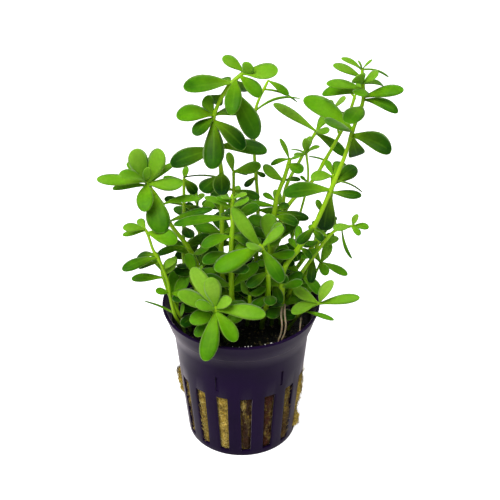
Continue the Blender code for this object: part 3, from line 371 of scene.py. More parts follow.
            Leaf(87.5, (7.5, 4, 5), 4.0), Leaf(76, (-6.5, -6, -2), 4.2), Leaf(76, (6.5, -5.5, 0), 4.2),
            Leaf(65, (1.5, -9, 2.5), 4.6),
        ),
        pairs=Pairs(56, 66, 9, 0, 10.5),
    ),
    "centre_bud": Shoot(
        path=((10.5, -6, 49), (11.5, -5, 62), (10, -5, 74), (9.2, -6, 84)),
        thick=(1.5, 1.1),
        leaves=(
            Leaf(83.5, (0.2, 2, 9.2), 5.8), Leaf(83, (4.2, -3, 8.4), 5.2), Leaf(72, (-8.1, -4, -4.4), 6.6),
            Leaf(73, (-4.7, -4, 3.2), 3.0), Leaf(65, (5.8, -6, -3.6), 3.6), Leaf(80, (3.6, 2.4, 2.7), 2.6),
            Leaf(80, (-3.8, -3.6, 2.2), 2.6),
        ),
        pairs=Pairs(56, 78, 7, 65, 11.5),
    ),
    "centre": Shoot(
        path=((-2, -7, 49), (-3, -12, 64), (-3.1, -14.5, 79), (-3, -15, 88), (-2.4, -15, 96),
              (-2.5, -15, 107)),
        thick=(2.1, 1.3),
        leaves=(
            Leaf(105.5, (-3.6, -4, 2.8), 2.2), Leaf(105.5, (5.1, -4, 3.2), 2.2),
            Leaf(102, (-8.8, -3, 6), 2.6), Leaf(104, (-4.6, -3, 3.7), 2.2), Leaf(98, (-17.6, -4, 1.5), 3.7),
            Leaf(102.5, (4.2, -8, 2.7), 3.6), Leaf(97, (8.5, 5, 2.5), 4.2), Leaf(91, (-9.3, -5, -0.5), 4.4),
            Leaf(91, (5, 2.8, -3.7), 5.2),
        ),
        pairs=Pairs(56, 90, 7, 25, 12),
    ),
    "middle": Shoot(
        path=((-1, 1, 49), (-3, 2, 66), (-2.6, 3, 82), (-2.2, 4, 94), (-2.1, 4, 105)),
        thick=(1.4, 1.0),
        leaves=(
            Leaf(104.5, (-1.1, 0, 7.3), 2.8), Leaf(104.3, (9.1, -2.9, 3.9), 5),
            Leaf(104, (4.5, 2.4, -2), 2.0), Leaf(97, (8.6, -2, -1.6), 3.6), Leaf(97, (-7, 3, -1), 3.4),
        ),
        pairs=Pairs(56, 92, 7.5, 55, 11.5),
    ),
    "mid_left": Shoot(
        path=((-11, 2, 49), (-16, 1, 60), (-19.4, 0, 71), (-19, 2, 87), (-18.7, 4, 102)),
        thick=(1.6, 1.0),
        leaves=(
            Leaf(101.5, (3.6, -2, -4.6), 4.0), Leaf(101.7, (1, 1, 4.2), 2.2), Leaf(101, (-7, 3, -1), 2.0),
            Leaf(92, (-6.5, 4, 1), 3.2), Leaf(92, (6.5, -3, -1), 3.2),
        ),
        pairs=Pairs(56, 86, 7, 75, 11),
    ),
    "rim_right": Shoot(
        path=((16, -9, 49), (20.5, -8.8, 55.5), (24.3, -8.2, 58), (27.6, -8, 59.4)),
        thick=(1.3, 1.0),
        leaves=(
            Leaf(59.2, (4.1, -1.8, 9.8), 4.2), Leaf(59, (13.7, -2, 4.8), 4),
            Leaf(58.7, (-9, -6.9, 1.7), 4.4), Leaf(58.9, (-8.8, -1, 6.5), 4.8),
            Leaf(56.5, (9.6, -4.7, -0.8), 2),
        ),
    ),
    "thin_right": Shoot(
        path=((20.5, 0, 49), (23, 1.5, 57), (25.7, 2, 64), (27.7, 2, 69.5)),
        thick=(0.9, 0.8),
        leaves=(
            Leaf(69, (1.6, -4.9, -1.9), 3.5), Leaf(69.2, (9, -3, -3.3), 3.2),
            Leaf(69.3, (3.3, -0.9, 8.2), 3.8), Leaf(69, (-3.5, 6, 2), 3.2),
        ),
    ),
    "far_right": Shoot(
        path=((13.5, -2, 49), (17, -2, 60), (22, -2.5, 70), (28.4, -3, 81), (31.7, -4, 86),
              (35, -4.3, 87.3), (38.2, -4.3, 88.4)),
        thick=(1.7, 0.8),
        leaves=(
            Leaf(88.2, (1.2, -1, 5), 2.2), Leaf(88.2, (5.2, -0.9, 0.5), 2.8),
            Leaf(88, (2.8, -3.3, -1.5), 2.4), Leaf(87.9, (-5.7, -4.2, 1.2), 3.3),
            Leaf(86, (-0.5, 0.4, 5.1), 1.8), Leaf(87, (2.5, -3.1, -10.3), 1.6, (-0.6, -0.8, 0.2)),
            Leaf(83, (-5.5, 4.5, 3), 3.2), Leaf(78, (6.2, 4.5, 2), 3.2), Leaf(78, (-5.8, -4.6, -1), 3.2),
        ),
        pairs=Pairs(58, 70, 9, 45, 10),
    ),
    "lower_right": Shoot(
        path=((17.5, 2, 49), (20.5, 1, 60), (24, 0.5, 70), (26.4, 0, 79), (27.4, -0.5, 87), (27.8, -0.5, 91)),
        thick=(1.5, 1.1),
        leaves=(
            Leaf(61, (-9.5, -6.5, -1), 4.2), Leaf(72, (-1.6, -5.8, -6.2), 3.5),
            Leaf(78, (5.5, 4, 1.5), 3.2), Leaf(79, (-4.2, -4.4, 1.5), 2.6),
            Leaf(86, (-3.4, -3.2, 2.6), 2.4), Leaf(86, (3.8, 3.4, 2.4), 2.4),
            Leaf(90.5, (2.4, -2.6, 3.8), 2.2), Leaf(90.5, (-2.2, 2.8, 3.6), 2.2),
            Leaf(64, (-1.6, -4, 1.4), 3.2),
        ),
    ),
    "inner_left": Shoot(
        path=((-12, -6, 49), (-14, -7.5, 57), (-15, -8.5, 66), (-15.5, -9, 72)),
        thick=(1.5, 1.1),
        leaves=(Leaf(71.5, (-2, 3, 7), 4.0), Leaf(71.5, (2.5, -4, 6), 4.0)),
        pairs=Pairs(54, 70, 5.5, 35, 11.5),
    ),
    "inner_middle": Shoot(
        path=((2, -6, 49), (3, -8.5, 57), (3, -10, 65)),
        thick=(1.5, 1.1),
        leaves=(
            Leaf(64.5, (-3, -3, 7), 4.4), Leaf(64.5, (5, -4, 5), 4.4), Leaf(58, (-8.2, 3, 0.9), 4.4),
            Leaf(58, (4.2, 4, 0.1), 4.4), Leaf(61, (-3.4, 8, 1.1), 4.4),
        ),
    ),
    "back_left": Shoot(
        path=((-9, 8, 49), (-12.5, 12, 62), (-14.5, 14, 75), (-15, 14, 86)),
        thick=(1.6, 1.1),
        leaves=(Leaf(85.5, (-2, 3, 6), 3.0), Leaf(85.5, (2.5, -3, 5.5), 3.0)),
        pairs=Pairs(54, 84, 6.5, 30, 11.5),
    ),
    "back_middle": Shoot(
        path=((-1, 12, 49), (-2, 16, 62), (-3, 18.5, 74), (-3.5, 19, 83)),
        thick=(1.6, 1.1),
        leaves=(Leaf(82.5, (-3, -2, 6), 3.0), Leaf(82.5, (3, 2, 6), 3.0)),
        pairs=Pairs(54, 81, 6.5, 5, 11.5),
    ),
    "back_right": Shoot(
        path=((9, 13, 49), (12, 17, 61), (14, 20, 72), (14.5, 21, 80)),
        thick=(1.5, 1.1),
        leaves=(Leaf(79.5, (-2.5, 3, 5.6), 3.0), Leaf(79.5, (1.6, -3, 3.2), 2.4)),
        pairs=Pairs(54, 72, 6.5, 60, 10.5),
    ),
}

# Roots that hang from the feet of two stems down to the wool
ROOTS = {
    "root_1": ((13.9, -11.5, 60.5), (13.7, -13.8, 58.5), (13.9, -15.7, 55.4), (13.5, -16.7, 52),
               (12.4, -17.3, 50)),
    "root_2": ((14.9, -10.6, 60.5), (14.9, -13.2, 58.9), (15.2, -15.3, 55.2), (14.8, -16.4, 52.1),
               (13.5, -17, 50)),
    "root_3": ((20.6, -10.3, 54.6), (20.4, -11.6, 52.8), (20.2, -12.3, 50.2)),
}
ROOT_THICK = (0.8, 0.5)
ROOT_RING = 2.5
FINE_ROOT_RING = 0.8
ROOT_SIDES = 5
FINE_ROOT_SIDES = 8
ROOT_WAVE = 0.04
STEM_SUNK = 2.0  # how deep a stem or root goes on into the wool
NODE_SWELL = 0.2  # how much thicker a stem is at a node, as a part of its thickness
NODE_REACH = 0.9  # how far that swelling goes along the stem
BLUNT_REACH = 1.8  # how far below its tip a stem or root starts to get thinner
BLUNT_END = 0.45  # its thickness at the tip, as a part of its thickness

# Colours, as linear red, green and blue
LEAF_GREENS = ((0.0, (0.004, 0.04, 0.0005)), (0.25, (0.03, 0.14, 0.001)), (0.5, (0.1, 0.31, 0.002)),
               (1.0, (0.27, 0.51, 0.04)))
LEAF_UNDER = (0.08, 0.23, 0.01)
LEAF_FOOT_GREEN = (0.24, 0.48, 0.008)
LEAF_VEIN = (0.17, 0.4, 0.015)
# partly a pale margin, partly a painted rim highlight
LEAF_MARGIN_AND_HIGHLIGHT = (0.3, 0.5, 0.09)
STEM_GREENS = ((0.2, (0.09, 0.22, 0.001)), (0.5, (0.29, 0.55, 0.005)), (0.9, (0.52, 0.76, 0.03)))
# painted shade on the stems' feet
STEM_FOOT_SHADE = (0.03, 0.06, 0.004)
STEM_FOOT_SHADE_Z = (50.0, 62.0)  # painted shade up to here, and its own green from here
PLASTIC = (0.0105, 0.0035, 0.026)
DRIED_DUST = (0.3, 0.28, 0.27)
WOOL_OCHRES = ((0.2, (0.16, 0.09, 0.012)), (0.5, (0.56, 0.4, 0.06)), (0.85, (0.9, 0.74, 0.24)))
WOOL_BROWN = (0.05, 0.024, 0.011)
WOOL_RUST = (0.07, 0.018, 0.007)
# near black: wet wool with painted shade under the leaves
WOOL_WET_AND_SHADE = (0.002, 0.0017, 0.0013)
CRUMB_COLOURS = ((0.3, (0.001, 0.001, 0.001)), (0.75, (0.006, 0.005, 0.002)), (1.0, (0.07, 0.055, 0.02)))
GRIT_COLOURS = ((0.3, (0.35, 0.32, 0.3)), (0.7, (0.75, 0.73, 0.72)))
ROOT_COLOURS = ((0.35, (0.16, 0.1, 0.05)), (0.5, (0.42, 0.33, 0.2)), (0.75, (0.62, 0.52, 0.36)))
FLOOR_GREY = (0.78, 0.78, 0.78)
BLACK = (0.0, 0.0, 0.0)
WHITE = (1.0, 1.0, 1.0)

ROOM_LIGHT = 0.26
KEY_LIGHT = ((-220, -380, 760), 420, 6.8)  # place, width and power
BACK_LIGHT = ((380, 420, 620), 500, 2.0)

GRIT_GRAINS = 26
GRIT_ANGLES = (-96.0, -62.0)
GRIT_IN_FROM_RIM = (0.9, 2.0)
GRIT_SIZES = (0.16, 0.36)
GRIT_SLOPE = 2.2  # how steeply the grains lie on the inside of the rim

# How pale the leaves of each shoot are, from 0, deep green, to 1, young and yellowish: partly each shoot's
# own green, partly painted shade, as the inner and back shoots are set deeper
SHOOT_TONE_AND_SHADE = {
    "tall_left": 0.42, "slender": 0.5, "tall_right": 0.42, "side_right": 0.5, "far_left": 0.42,
    "low_left": 0.44, "front": 0.52, "front_centre": 0.36, "centre_bud": 0.4, "centre": 0.4,
    "rim_right": 0.46, "thin_right": 0.46, "far_right": 0.5, "inner_left": 0.2, "inner_middle": 0.15,
    "middle": 0.28, "mid_left": 0.2, "back_left": 0.22, "back_middle": 0.2, "back_right": 0.25,
}
PLAIN_TONE = 0.36
YOUNG_PALER = 0.14
YOUNG_REACH = 5.0  # how far below a shoot's top its leaves are still young
# painted light: how much paler a leaf reaching straight up is, and how much deeper a hanging one is
UPRIGHT_PAINTED_LIGHT = 0.3
SHADE_DEEPER = 0.3
SHADE_DEPTH = 30.0  # how far below a shoot's top its leaves are in full shade

# What differs from one leaf to the next: the least and the most that is added
LEAF_CHANCE = {
    "tone": (-0.13, 0.15), "arch": (-0.14, 0.2), "droop": (-0.04, 0.06), "cup": (-0.5, 0.9),
    "sway": (-0.07, 0.07),
}


# Forms and paths

def held_in(value):
    """The value, held between 0 and 1."""
    return min(1.0, max(0.0, value))


def between(steps, z):
    """The value at z of steps given as (z, value), held at both ends."""
    if z <= steps[0][0]:
        return steps[0][1]
    for (z0, v0), (z1, v1) in zip(steps, steps[1:]):
        if z <= z1:
            return v0 + (v1 - v0) * (z - z0) / (z1 - z0)
    return steps[-1][1]


def wall_radius(z):
    """The pot's outer radius at height z."""
    return between(((0, BASE_RADIUS), (WAIST_Z, WAIST_RADIUS), (BAND_Z, BAND_RADIUS),
                    (POT_HEIGHT, RIM_RADIUS)), z)


def row_faces(rows, count):
    """Faces between rows of this many points, each of which runs round and closes on itself."""
    faces = []
    for row in range(rows - 1):
        for n in range(count):
            a, b = row * count + n, row * count + (n + 1) % count
            faces.append((a, b, b + count, a + count))
    return faces


def cap_faces(rows, count, bottom, top):
    """Faces that close such rows with a point in the middle of each end."""
    last = (rows - 1) * count
    faces = []
    for n in range(count):
        after = (n + 1) % count
        faces += [(last + n, last + after, top), (after, n, bottom)]
    return faces


def turned(profile, sides):
    """Points and faces of a profile of (radius, z) turned about Z; a radius of 0 is one point."""
    points, rings, faces = [], [], []
    for radius, z in profile:
        count = 1 if radius == 0 else sides
        rings.append(range(len(points), len(points) + count))
        points += [at_angle(2 * math.pi * k / sides, radius, z) for k in range(count)]
    for low, high in zip(rings, rings[1:]):
        for k in range(sides):
            a, b = low[k % len(low)], low[(k + 1) % len(low)]
            c, d = high[(k + 1) % len(high)], high[k % len(high)]
            faces.append(list(dict.fromkeys((a, b, c, d))))
    return points, faces


def at_angle(angle, radius, z):
    """The point at an angle round the pot, at a radius and a height."""
    return Vector((radius * math.cos(angle), radius * math.sin(angle), z))


def smooth_path(points, every):
    """Points along a smooth curve through the given ones, about this far apart."""
    points = [Vector(p) for p in points]
    ends = [2 * points[0] - points[1], *points, 2 * points[-1] - points[-2]]
    made = []
    for a, b, c, d in zip(ends, ends[1:], ends[2:], ends[3:]):
        count = max(1, round((c - b).length / every))
        for k in range(count):
            t = k / count
            made.append(0.5 * (2 * b + (c - a) * t + (2 * a - 5 * b + 4 * c - d) * t**2
                               + (3 * b - a - 3 * c + d) * t**3))
    return [*made, points[-1]]


def radius_along(thick, done):
    """The radius of a stem or root at a part of its length, from its thickness at foot and tip."""
    return (thick[0] + (thick[1] - thick[0]) * done) / 2


def tube(path, thick, sides):
    """Points and faces of a tube along a path, closed at both ends."""
    side = Vector((1, 0, 0))
    points = []
    for k, centre in enumerate(path):
        along = (path[min(k + 1, len(path) - 1)] - path[max(k - 1, 0)]).normalized()
        side = (side - along * side.dot(along)).normalized()
        other = along.cross(side)
        radius = radius_along(thick, k / (len(path) - 1))
        for n in range(sides):
            angle = 2 * math.pi * n / sides
            points.append(centre + (side * math.cos(angle) + other * math.sin(angle)) * radius)
    faces = row_faces(len(path), sides)
    faces += [tuple(range(sides))[::-1], tuple(range(len(points) - sides, len(points)))]
    return points, faces


def leaf_outline(t):
    """Half the leaf's width at t of its length, as a part of half its full width."""
    if t < LEAF_WIDEST:
        return LEAF_FOOT + (1 - LEAF_FOOT) * math.sin(math.pi / 2 * t / LEAF_WIDEST) ** 1.5
    return math.sqrt(max(0.0, 1 - ((t - LEAF_WIDEST) / (1 - LEAF_WIDEST)) ** 2))


def leaf_frame(start, reach, face):
    """The point at t of the midrib, as a function, and the leaf's own sideways and upward directions."""
    along = reach.normalized()
    up = face - along * face.dot(along)
    up = up.normalized() if up.length > 1e-3 else along.orthogonal().normalized()
    arch = LEAF_ARCH * reach.length

    def midrib(t):
        return start + reach * t + up * (4 * arch * t * (1 - t))

    return midrib, up.cross(along), up


def blade(start, reach, width, face, thick=LEAF_THICK):
    """Points and faces of a packed long leaf: a lens-shaped section at each step, and a point at its tip."""
    midrib, side, up = leaf_frame(start, reach, face)
    points = []
    for t in LEAF_STEPS:
        half = leaf_outline(t) * width / 2
        flesh = thick * (0.55 - 0.2 * t)
        middle = midrib(t)
        points += [middle - side * half, middle - up * flesh, middle + side * half, middle + up * flesh]
    points.append(midrib(1.0))
    faces = row_faces(len(LEAF_STEPS), 4)
    last = len(points) - 5
    faces += [(last + n, last + (n + 1) % 4, last + 4) for n in range(4)]
    return points, [*faces, (3, 2, 1, 0)]


def small_blade(start, reach, width, face, thick=LEAF_THICK):
    """Points and faces of a packed short leaf: a pointed foot, a ridge where it is widest, a blunt tip."""
    midrib, side, up = leaf_frame(start, reach, face)
    below, above = SHORT_FLESH
    widest, tip = midrib(SHORT_WIDEST), midrib(SHORT_END)
    low, half_end = widest - up * (thick * below), width * SHORT_END_WIDTH / 2
    points = [
        start, low - side * (width / 2), low + side * (width / 2), widest + up * (thick * above),
        tip - side * half_end, tip + side * half_end,
    ]
    return points, [[0, 2, 1], [0, 3, 2], [0, 1, 3], [1, 2, 5, 4], [3, 5, 2], [3, 1, 4], [3, 4, 5]]


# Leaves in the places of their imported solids

class Stem:
    """A stem's path with a point every so far, which gives the point, direction and radius at a height."""

    def __init__(self, shoot, every):
        self.path = smooth_path(shoot.path, every)
        self.thick = shoot.thick

    def at(self, z):
        last = len(self.path) - 2
        for k, (low, high) in enumerate(zip(self.path, self.path[1:])):
            if z <= high.z or k == last:
                part = held_in((z - low.z) / max(high.z - low.z, 1e-6))
                radius = radius_along(self.thick, (k + part) / (len(self.path) - 1))
                return low.lerp(high, part), (high - low).normalized(), radius


def pair_leaves(shoot):
    """The leaves of a shoot's opposite pairs, which get shorter towards its tip."""
    if not shoot.pairs:
        return []
    rule = shoot.pairs
    made = []
    count = int((rule.high - rule.low) / rule.step) + 1
    for k in range(count):
        z = rule.low + k * rule.step
        length = rule.length * (1 - 0.12 * k / count)
        for turn in (rule.turn + 90 * k, rule.turn + 90 * k + 180):
            angle = math.radians(turn + 9 * math.sin(5 * k + turn))
            rise = math.radians(18 + 14 * math.sin(3 * k + 2 * turn))
            flat = length * math.cos(rise)
            reach = (flat * math.cos(angle), flat * math.sin(angle), length * math.sin(rise))
            made.append(Leaf(z, reach, length * PAIR_WIDTH))
    return made


def turned_tries():
    """Turns to try, as (upward, sideways) in degrees, smallest first."""
    steps = range(-48, 49, 6)
    tries = [(a, b) for a in steps for b in steps]
    return sorted(tries, key=lambda pair: (pair[0] ** 2 + pair[1] ** 2, pair))


TRIES = turned_tries()


def box_round(points):
    """The lowest and the highest corner of the box round some points."""
    return [Vector([pick(p[k] for p in points) for k in range(3)]) for pick in (min, max)]


class Crowd:
    """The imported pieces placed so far, to keep each new leaf clear of them."""

    def __init__(self):
        self.pieces = []

    def add(self, name, points, faces):
        self.pieces.append((name, *box_round(points), BVHTree.FromPolygons(points, faces)))

    def blocked(self, points, faces, near=None, far=None):
        """Whether it meets a piece, of shoot near alone or of any shoot but far when these are given."""
        low, high = box_round(points)
        tree = BVHTree.FromPolygons(points, faces)
        for name, a, b, other in self.pieces:
            if name == far or (near and name != near):
                continue
            apart = any(low[k] > b[k] or high[k] < a[k] for k in range(3))
            if not apart and tree.overlap(other):
                return True
        return False


def turned_reach(reach, rise, swing):
    """A leaf's reach turned about Z by swing and lifted by rise, both in degrees."""
    turned_to = Vector(reach)
    turned_to.rotate(Matrix.Rotation(math.radians(swing), 3, "Z"))
    flat = Vector((-turned_to.y, turned_to.x, 0))
    if flat.length > 1e-6:
        turned_to.rotate(Matrix.Rotation(math.radians(-rise), 3, flat.normalized()))
    return turned_to


def place_leaf(name, stem, leaf, crowd, own_node):
    """The start, reach, face and outward direction of a leaf, turned as little as clears it, or None."""
    centre, along, radius = stem.at(leaf.z)
    room = 2 * GAP
    face = Vector(leaf.face)
    for rise, swing in TRIES:
        reach = turned_reach(leaf.reach, rise, swing)
        outward = reach - along * reach.dot(along)
        outward = outward.normalized() if outward.length > 1e-6 else along.orthogonal().normalized()
        start = centre + outward * (radius + GAP + FOOT_CLEAR if own_node else radius * FOOT_SUNK)
        fat = (leaf.width + room, face, LEAF_THICK + room)
        if any(crowd.blocked(*form(start, reach, *fat), far=name) for form in (blade, small_blade)):
            continue
        in_stem = radius * (1 - FOOT_SUNK) + room + FOOT_FREE
        past_foot = 0.0 if own_node else in_stem / reach.length
        beyond = blade(start + reach * past_foot, reach * (1 - past_foot), *fat)
        if not crowd.blocked(*beyond, near=name):
            return start, reach, face, outward
    return None


def crowd_of_pot():
    """A crowd that holds the pot's outer form, the top of the wool and the roots."""
    crowd = Crowd()
    profile = [(0, 0), (BASE_RADIUS, 0), (WAIST_RADIUS, WAIST_Z), (BAND_RADIUS, BAND_Z),
               (RIM_RADIUS, POT_HEIGHT), (RIM_RADIUS - WALL, POT_HEIGHT), (BAND_RADIUS - WALL, BAND_Z),
               (BAND_RADIUS - WALL - 0.2, WOOL_TOP_Z), (0, WOOL_TOP_Z)]
    crowd.add("net_pot", *turned(profile, POT_SIDES // 2))
    for name, path in ROOTS.items():
        crowd.add(name, *tube(smooth_path(path, ROOT_RING), ROOT_THICK, ROOT_SIDES))
    return crowd


class Grown(NamedTuple):
    """One fine leaf: its packed label, foot, length along its midrib, upper side, width, and tone with its
    painted light and shade.
    """

    label: str
    own_node: bool
    foot: Vector
    along: Vector
    up: Vector
    width: float
    tone: float


def leaf_tone_and_shade(name, leaf, reach):
    """Young leaves are paler; upright ones are paler and hanging ones deeper as painted light, and those low
    in the crowd are deeper as painted shade.
    """
    below_top = SHOOTS[name].path[-1][2] - leaf.z
    young = math.exp(-below_top / YOUNG_REACH) * YOUNG_PALER
    # painted light: paler as the leaf reaches up, deeper as it hangs
    upright = UPRIGHT_PAINTED_LIGHT * reach.normalized().z
    # painted shade: deeper the further a leaf grows below its shoot's top
    shade = SHADE_DEEPER * held_in(below_top / SHADE_DEPTH)
    return SHOOT_TONE_AND_SHADE.get(name, PLAIN_TONE) + young + upright - shade


def grown_leaves():
    """Every fine leaf, listed by its shoot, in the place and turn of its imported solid."""
    crowd = crowd_of_pot()
    packed, fine = {}, {}
    for name, shoot in SHOOTS.items():
        packed[name] = Stem(shoot, RING_EVERY)
        packed[name].path[0] = packed[name].path[0] + Vector((0, 0, GAP + 0.1))
        fine[name] = Stem(shoot, FINE_RING)
        crowd.add(name, *tube(packed[name].path, shoot.thick, STEM_SIDES))
    wanted = [(name, leaf) for name, shoot in SHOOTS.items() for leaf in shoot.leaves]
    wanted.sort(key=lambda pair: -Vector(pair[1].reach).length)
    wanted += [(name, leaf) for name, shoot in SHOOTS.items() for leaf in pair_leaves(shoot)]
    grown = {name: [] for name in SHOOTS}
    for name, leaf in wanted:
        own_node = Vector(leaf.reach).length >= OWN_NODE_LENGTH
        place = place_leaf(name, packed[name], leaf, crowd, own_node)
        if place is None:
            continue
        start, reach, face, outward = place
        form = blade if own_node else small_blade
        crowd.add(name, *form(start, reach, leaf.width, face))
        label = f"{name}_{len(grown[name]) + 1}"
        centre, _, radius = fine[name].at(leaf.z)
        foot = centre + outward * radius * 0.5
        along = start + reach - foot
        up = leaf_frame(foot, along, face)[2]
        tone = leaf_tone_and_shade(name, leaf, reach)
        grown[name].append(Grown(label, own_node, foot, along, up, leaf.width, tone))
    return grown, fine


# Node trees for looks

class Value:
    """What a node gives, which takes part in sums written with the usual signs."""

    def __init__(self, net, socket):
        self.net = net
        self.socket = socket

    def __add__(self, other):
        return self.net.sum("ADD", self, other)

    def __mul__(self, other):
        return self.net.sum("MULTIPLY", self, other)

    def __sub__(self, other):
        return self.net.sum("SUBTRACT", self, other)

    def __rsub__(self, other):
        return self.net.sum("SUBTRACT", other, self)

    def __pow__(self, other):
        return self.net.sum("POWER", self, other)

    __radd__ = __add__


class Net:
    """A node tree in the making; a socket takes a value of another node or a plain one."""

    def __init__(self, tree):
        self.tree = tree

    def node(self, kind, inputs=None, **settings):
        """A new node with its settings, and each input joined to a value or set to a plain one."""
        node = self.tree.nodes.new(kind)
        for name, setting in settings.items():
            setattr(node, name, setting)
        for key, given in (inputs or {}).items():
            if isinstance(given, Value):
                self.tree.links.new(given.socket, node.inputs[key])
            else:
                node.inputs[key].default_value = given
        return node

    def value(self, kind, inputs=None, output=0, **settings):
        """One output of a new node."""
        return Value(self, self.node(kind, inputs, **settings).outputs[output])

    def given(self):
        """The tree's own inputs, by their names."""
        sockets = self.tree.nodes.new("NodeGroupInput").outputs
        return {socket.name: Value(self, socket) for socket in sockets if socket.name}

    def sum(self, operation, *values, clamp=False):
        """The result of one sum on numbers or values."""
        return self.value("ShaderNodeMath", dict(enumerate(values)), operation=operation, use_clamp=clamp)

    def vector_sum(self, operation, *values):
        """The result of one sum on vectors."""
        return self.value("ShaderNodeVectorMath", dict(enumerate(values)), operation=operation)

    def scaled(self, vector, factor):
        """A vector times a number."""
        return self.value("ShaderNodeVectorMath", {"Vector": vector, "Scale": factor}, operation="SCALE")

    def combined(self, x=0.0, y=0.0, z=0.0):
        return self.value("ShaderNodeCombineXYZ", {0: x, 1: y, 2: z})

    def fade(self, value, low, high):
        """A value that goes smoothly from 0 at low to 1 at high."""
        inputs = {"Value": value, "From Min": low, "From Max": high}
        return self.value("ShaderNodeMapRange", inputs, interpolation_type="SMOOTHSTEP")

    def mixed(self, factor, first, second, blend="MIX"):
        """Two colours, plain or of other nodes, mixed by a factor."""
        first, second = ((*c, 1.0) if isinstance(c, tuple) else c for c in (first, second))
        return self.value("ShaderNodeMix", {0: factor, 6: first, 7: second}, output=2, data_type="RGBA",
                          blend_type=blend, clamp_result=True)

    def cloudy(self, vector, scale, detail=3.0, roughness=0.5):
        """Soft noise, from 0 to 1."""
        inputs = {"Vector": vector, "Scale": scale, "Detail": detail, "Roughness": roughness}
        return self.value("ShaderNodeTexNoise", inputs, output="Fac")

    def ramp(self, factor, stops):
        """A colour that runs through the given (place, colour) stops."""
        node = self.node("ShaderNodeValToRGB", {0: factor})
        elements = node.color_ramp.elements
        for _ in stops[2:]:
            elements.new(0.5)
        for element, (place, colour) in zip(elements, stops):
            element.position = place
            element.color = (*colour, 1.0)
        return Value(self, node.outputs[0])


def new_net(name, kind, inputs, outputs):
    """A new node tree of its own, with named inputs and outputs."""
    tree = bpy.data.node_groups.new(name, kind)
    for way, sockets in (("INPUT", inputs), ("OUTPUT", outputs)):
        for socket, what in sockets.items():
            tree.interface.new_socket(socket, in_out=way, socket_type=f"NodeSocket{what}")
    return Net(tree)


def mottle_group():
    """Darker and lighter patches of one size, over a colour."""
    inputs = {"Vector": "Vector", "Scale": "Float", "Amount": "Float", "Colour": "Color"}
    net = new_net("mottle", "ShaderNodeTree", inputs, {"Colour": "Color"})
    given = net.given()
    patches = net.fade(net.cloudy(given["Vector"], given["Scale"], 4.0, 0.6), 0.3, 0.7)
    dark = net.mixed(1.0, given["Colour"], (0.45, 0.5, 0.4), "MULTIPLY")
    light = net.mixed(1.0, given["Colour"], (1.55, 1.4, 1.5), "MULTIPLY")
    varied = net.mixed(given["Amount"], given["Colour"], net.mixed(patches, dark, light))
    net.node("NodeGroupOutput", {"Colour": varied})
    return net.tree


def grain_group():
    """A fine uneven surface: a normal from small bumps, and a mask of them for the roughness."""
    inputs = {"Vector": "Vector", "Scale": "Float", "Strength": "Float", "Depth": "Float"}
    net = new_net("grain", "ShaderNodeTree", inputs, {"Normal": "Vector", "Bumps": "Float"})
    given = net.given()
    bumps = net.cloudy(given["Vector"], given["Scale"], 3.0, 0.55)
    bump_inputs = {"Height": bumps, "Strength": given["Strength"], "Distance": given["Depth"]}
    net.node("NodeGroupOutput", {"Normal": net.value("ShaderNodeBump", bump_inputs), "Bumps": bumps})
    return net.tree


class Groups(NamedTuple):
    """The node groups that several pieces share: two for looks, and one that sweeps stems and roots."""

    mottle: bpy.types.NodeTree
    grain: bpy.types.NodeTree
    strand: bpy.types.NodeTree


class Finish(Net):
    """A material in the making, with its place on the piece as Object coordinates."""

    def __init__(self, name, groups=None):
        self.material = bpy.data.materials.new(name)
        self.material.use_nodes = True
        super().__init__(self.material.node_tree)
        self.groups = groups
        self.where = self.value("ShaderNodeTexCoord", output="Object")

    def held(self, name, output="Fac"):
        """An attribute of the mesh."""
        return self.value("ShaderNodeAttribute", output=output, attribute_name=name)

    def shared(self, group, **inputs):
        """The outputs of a shared group placed here, with its named inputs."""
        named = {name.capitalize(): given for name, given in {"vector": self.where, **inputs}.items()}
        return self.node("ShaderNodeGroup", named, node_tree=group).outputs

    def mottled(self, colour, scale, amount):
        """The colour with darker and lighter patches."""
        colour = (*colour, 1.0) if isinstance(colour, tuple) else colour
        outputs = self.shared(self.groups.mottle, scale=scale, amount=amount, colour=colour)
        return Value(self, outputs["Colour"])

    def grained(self, scale, strength, depth):
        """A grained normal, and the mask of its bumps."""
        outputs = self.shared(self.groups.grain, scale=scale, strength=strength, depth=depth)
        return Value(self, outputs["Normal"]), Value(self, outputs["Bumps"])

    def streaks(self, across, along):
        """Fine streaks along a stem or a root, this fine across it and along it."""
        round_it = self.held("round", "Vector")
        stretched = self.value("ShaderNodeMapping", {"Vector": round_it, "Scale": (across,) * 3})
        shift = self.combined(z=self.held("run") * along)
        return self.cloudy(self.vector_sum("ADD", stretched, shift), 1.0, 3.0, 0.6)

    def height(self):
        """How high over the floor each place is, in metres."""
        return self.value("ShaderNodeSeparateXYZ", {0: self.where}, output=2)

    def dressed(self, joined, **plain):
        """The material, with these values joined to its shader's inputs and the others set plainly."""
        shader = self.tree.nodes["Principled BSDF"]
        for name, given in joined.items():
            self.tree.links.new(given.socket, shader.inputs[name])
        for name, given in plain.items():
            shader.inputs[name.replace("_", " ")].default_value = given
        return self.material


# Finishes

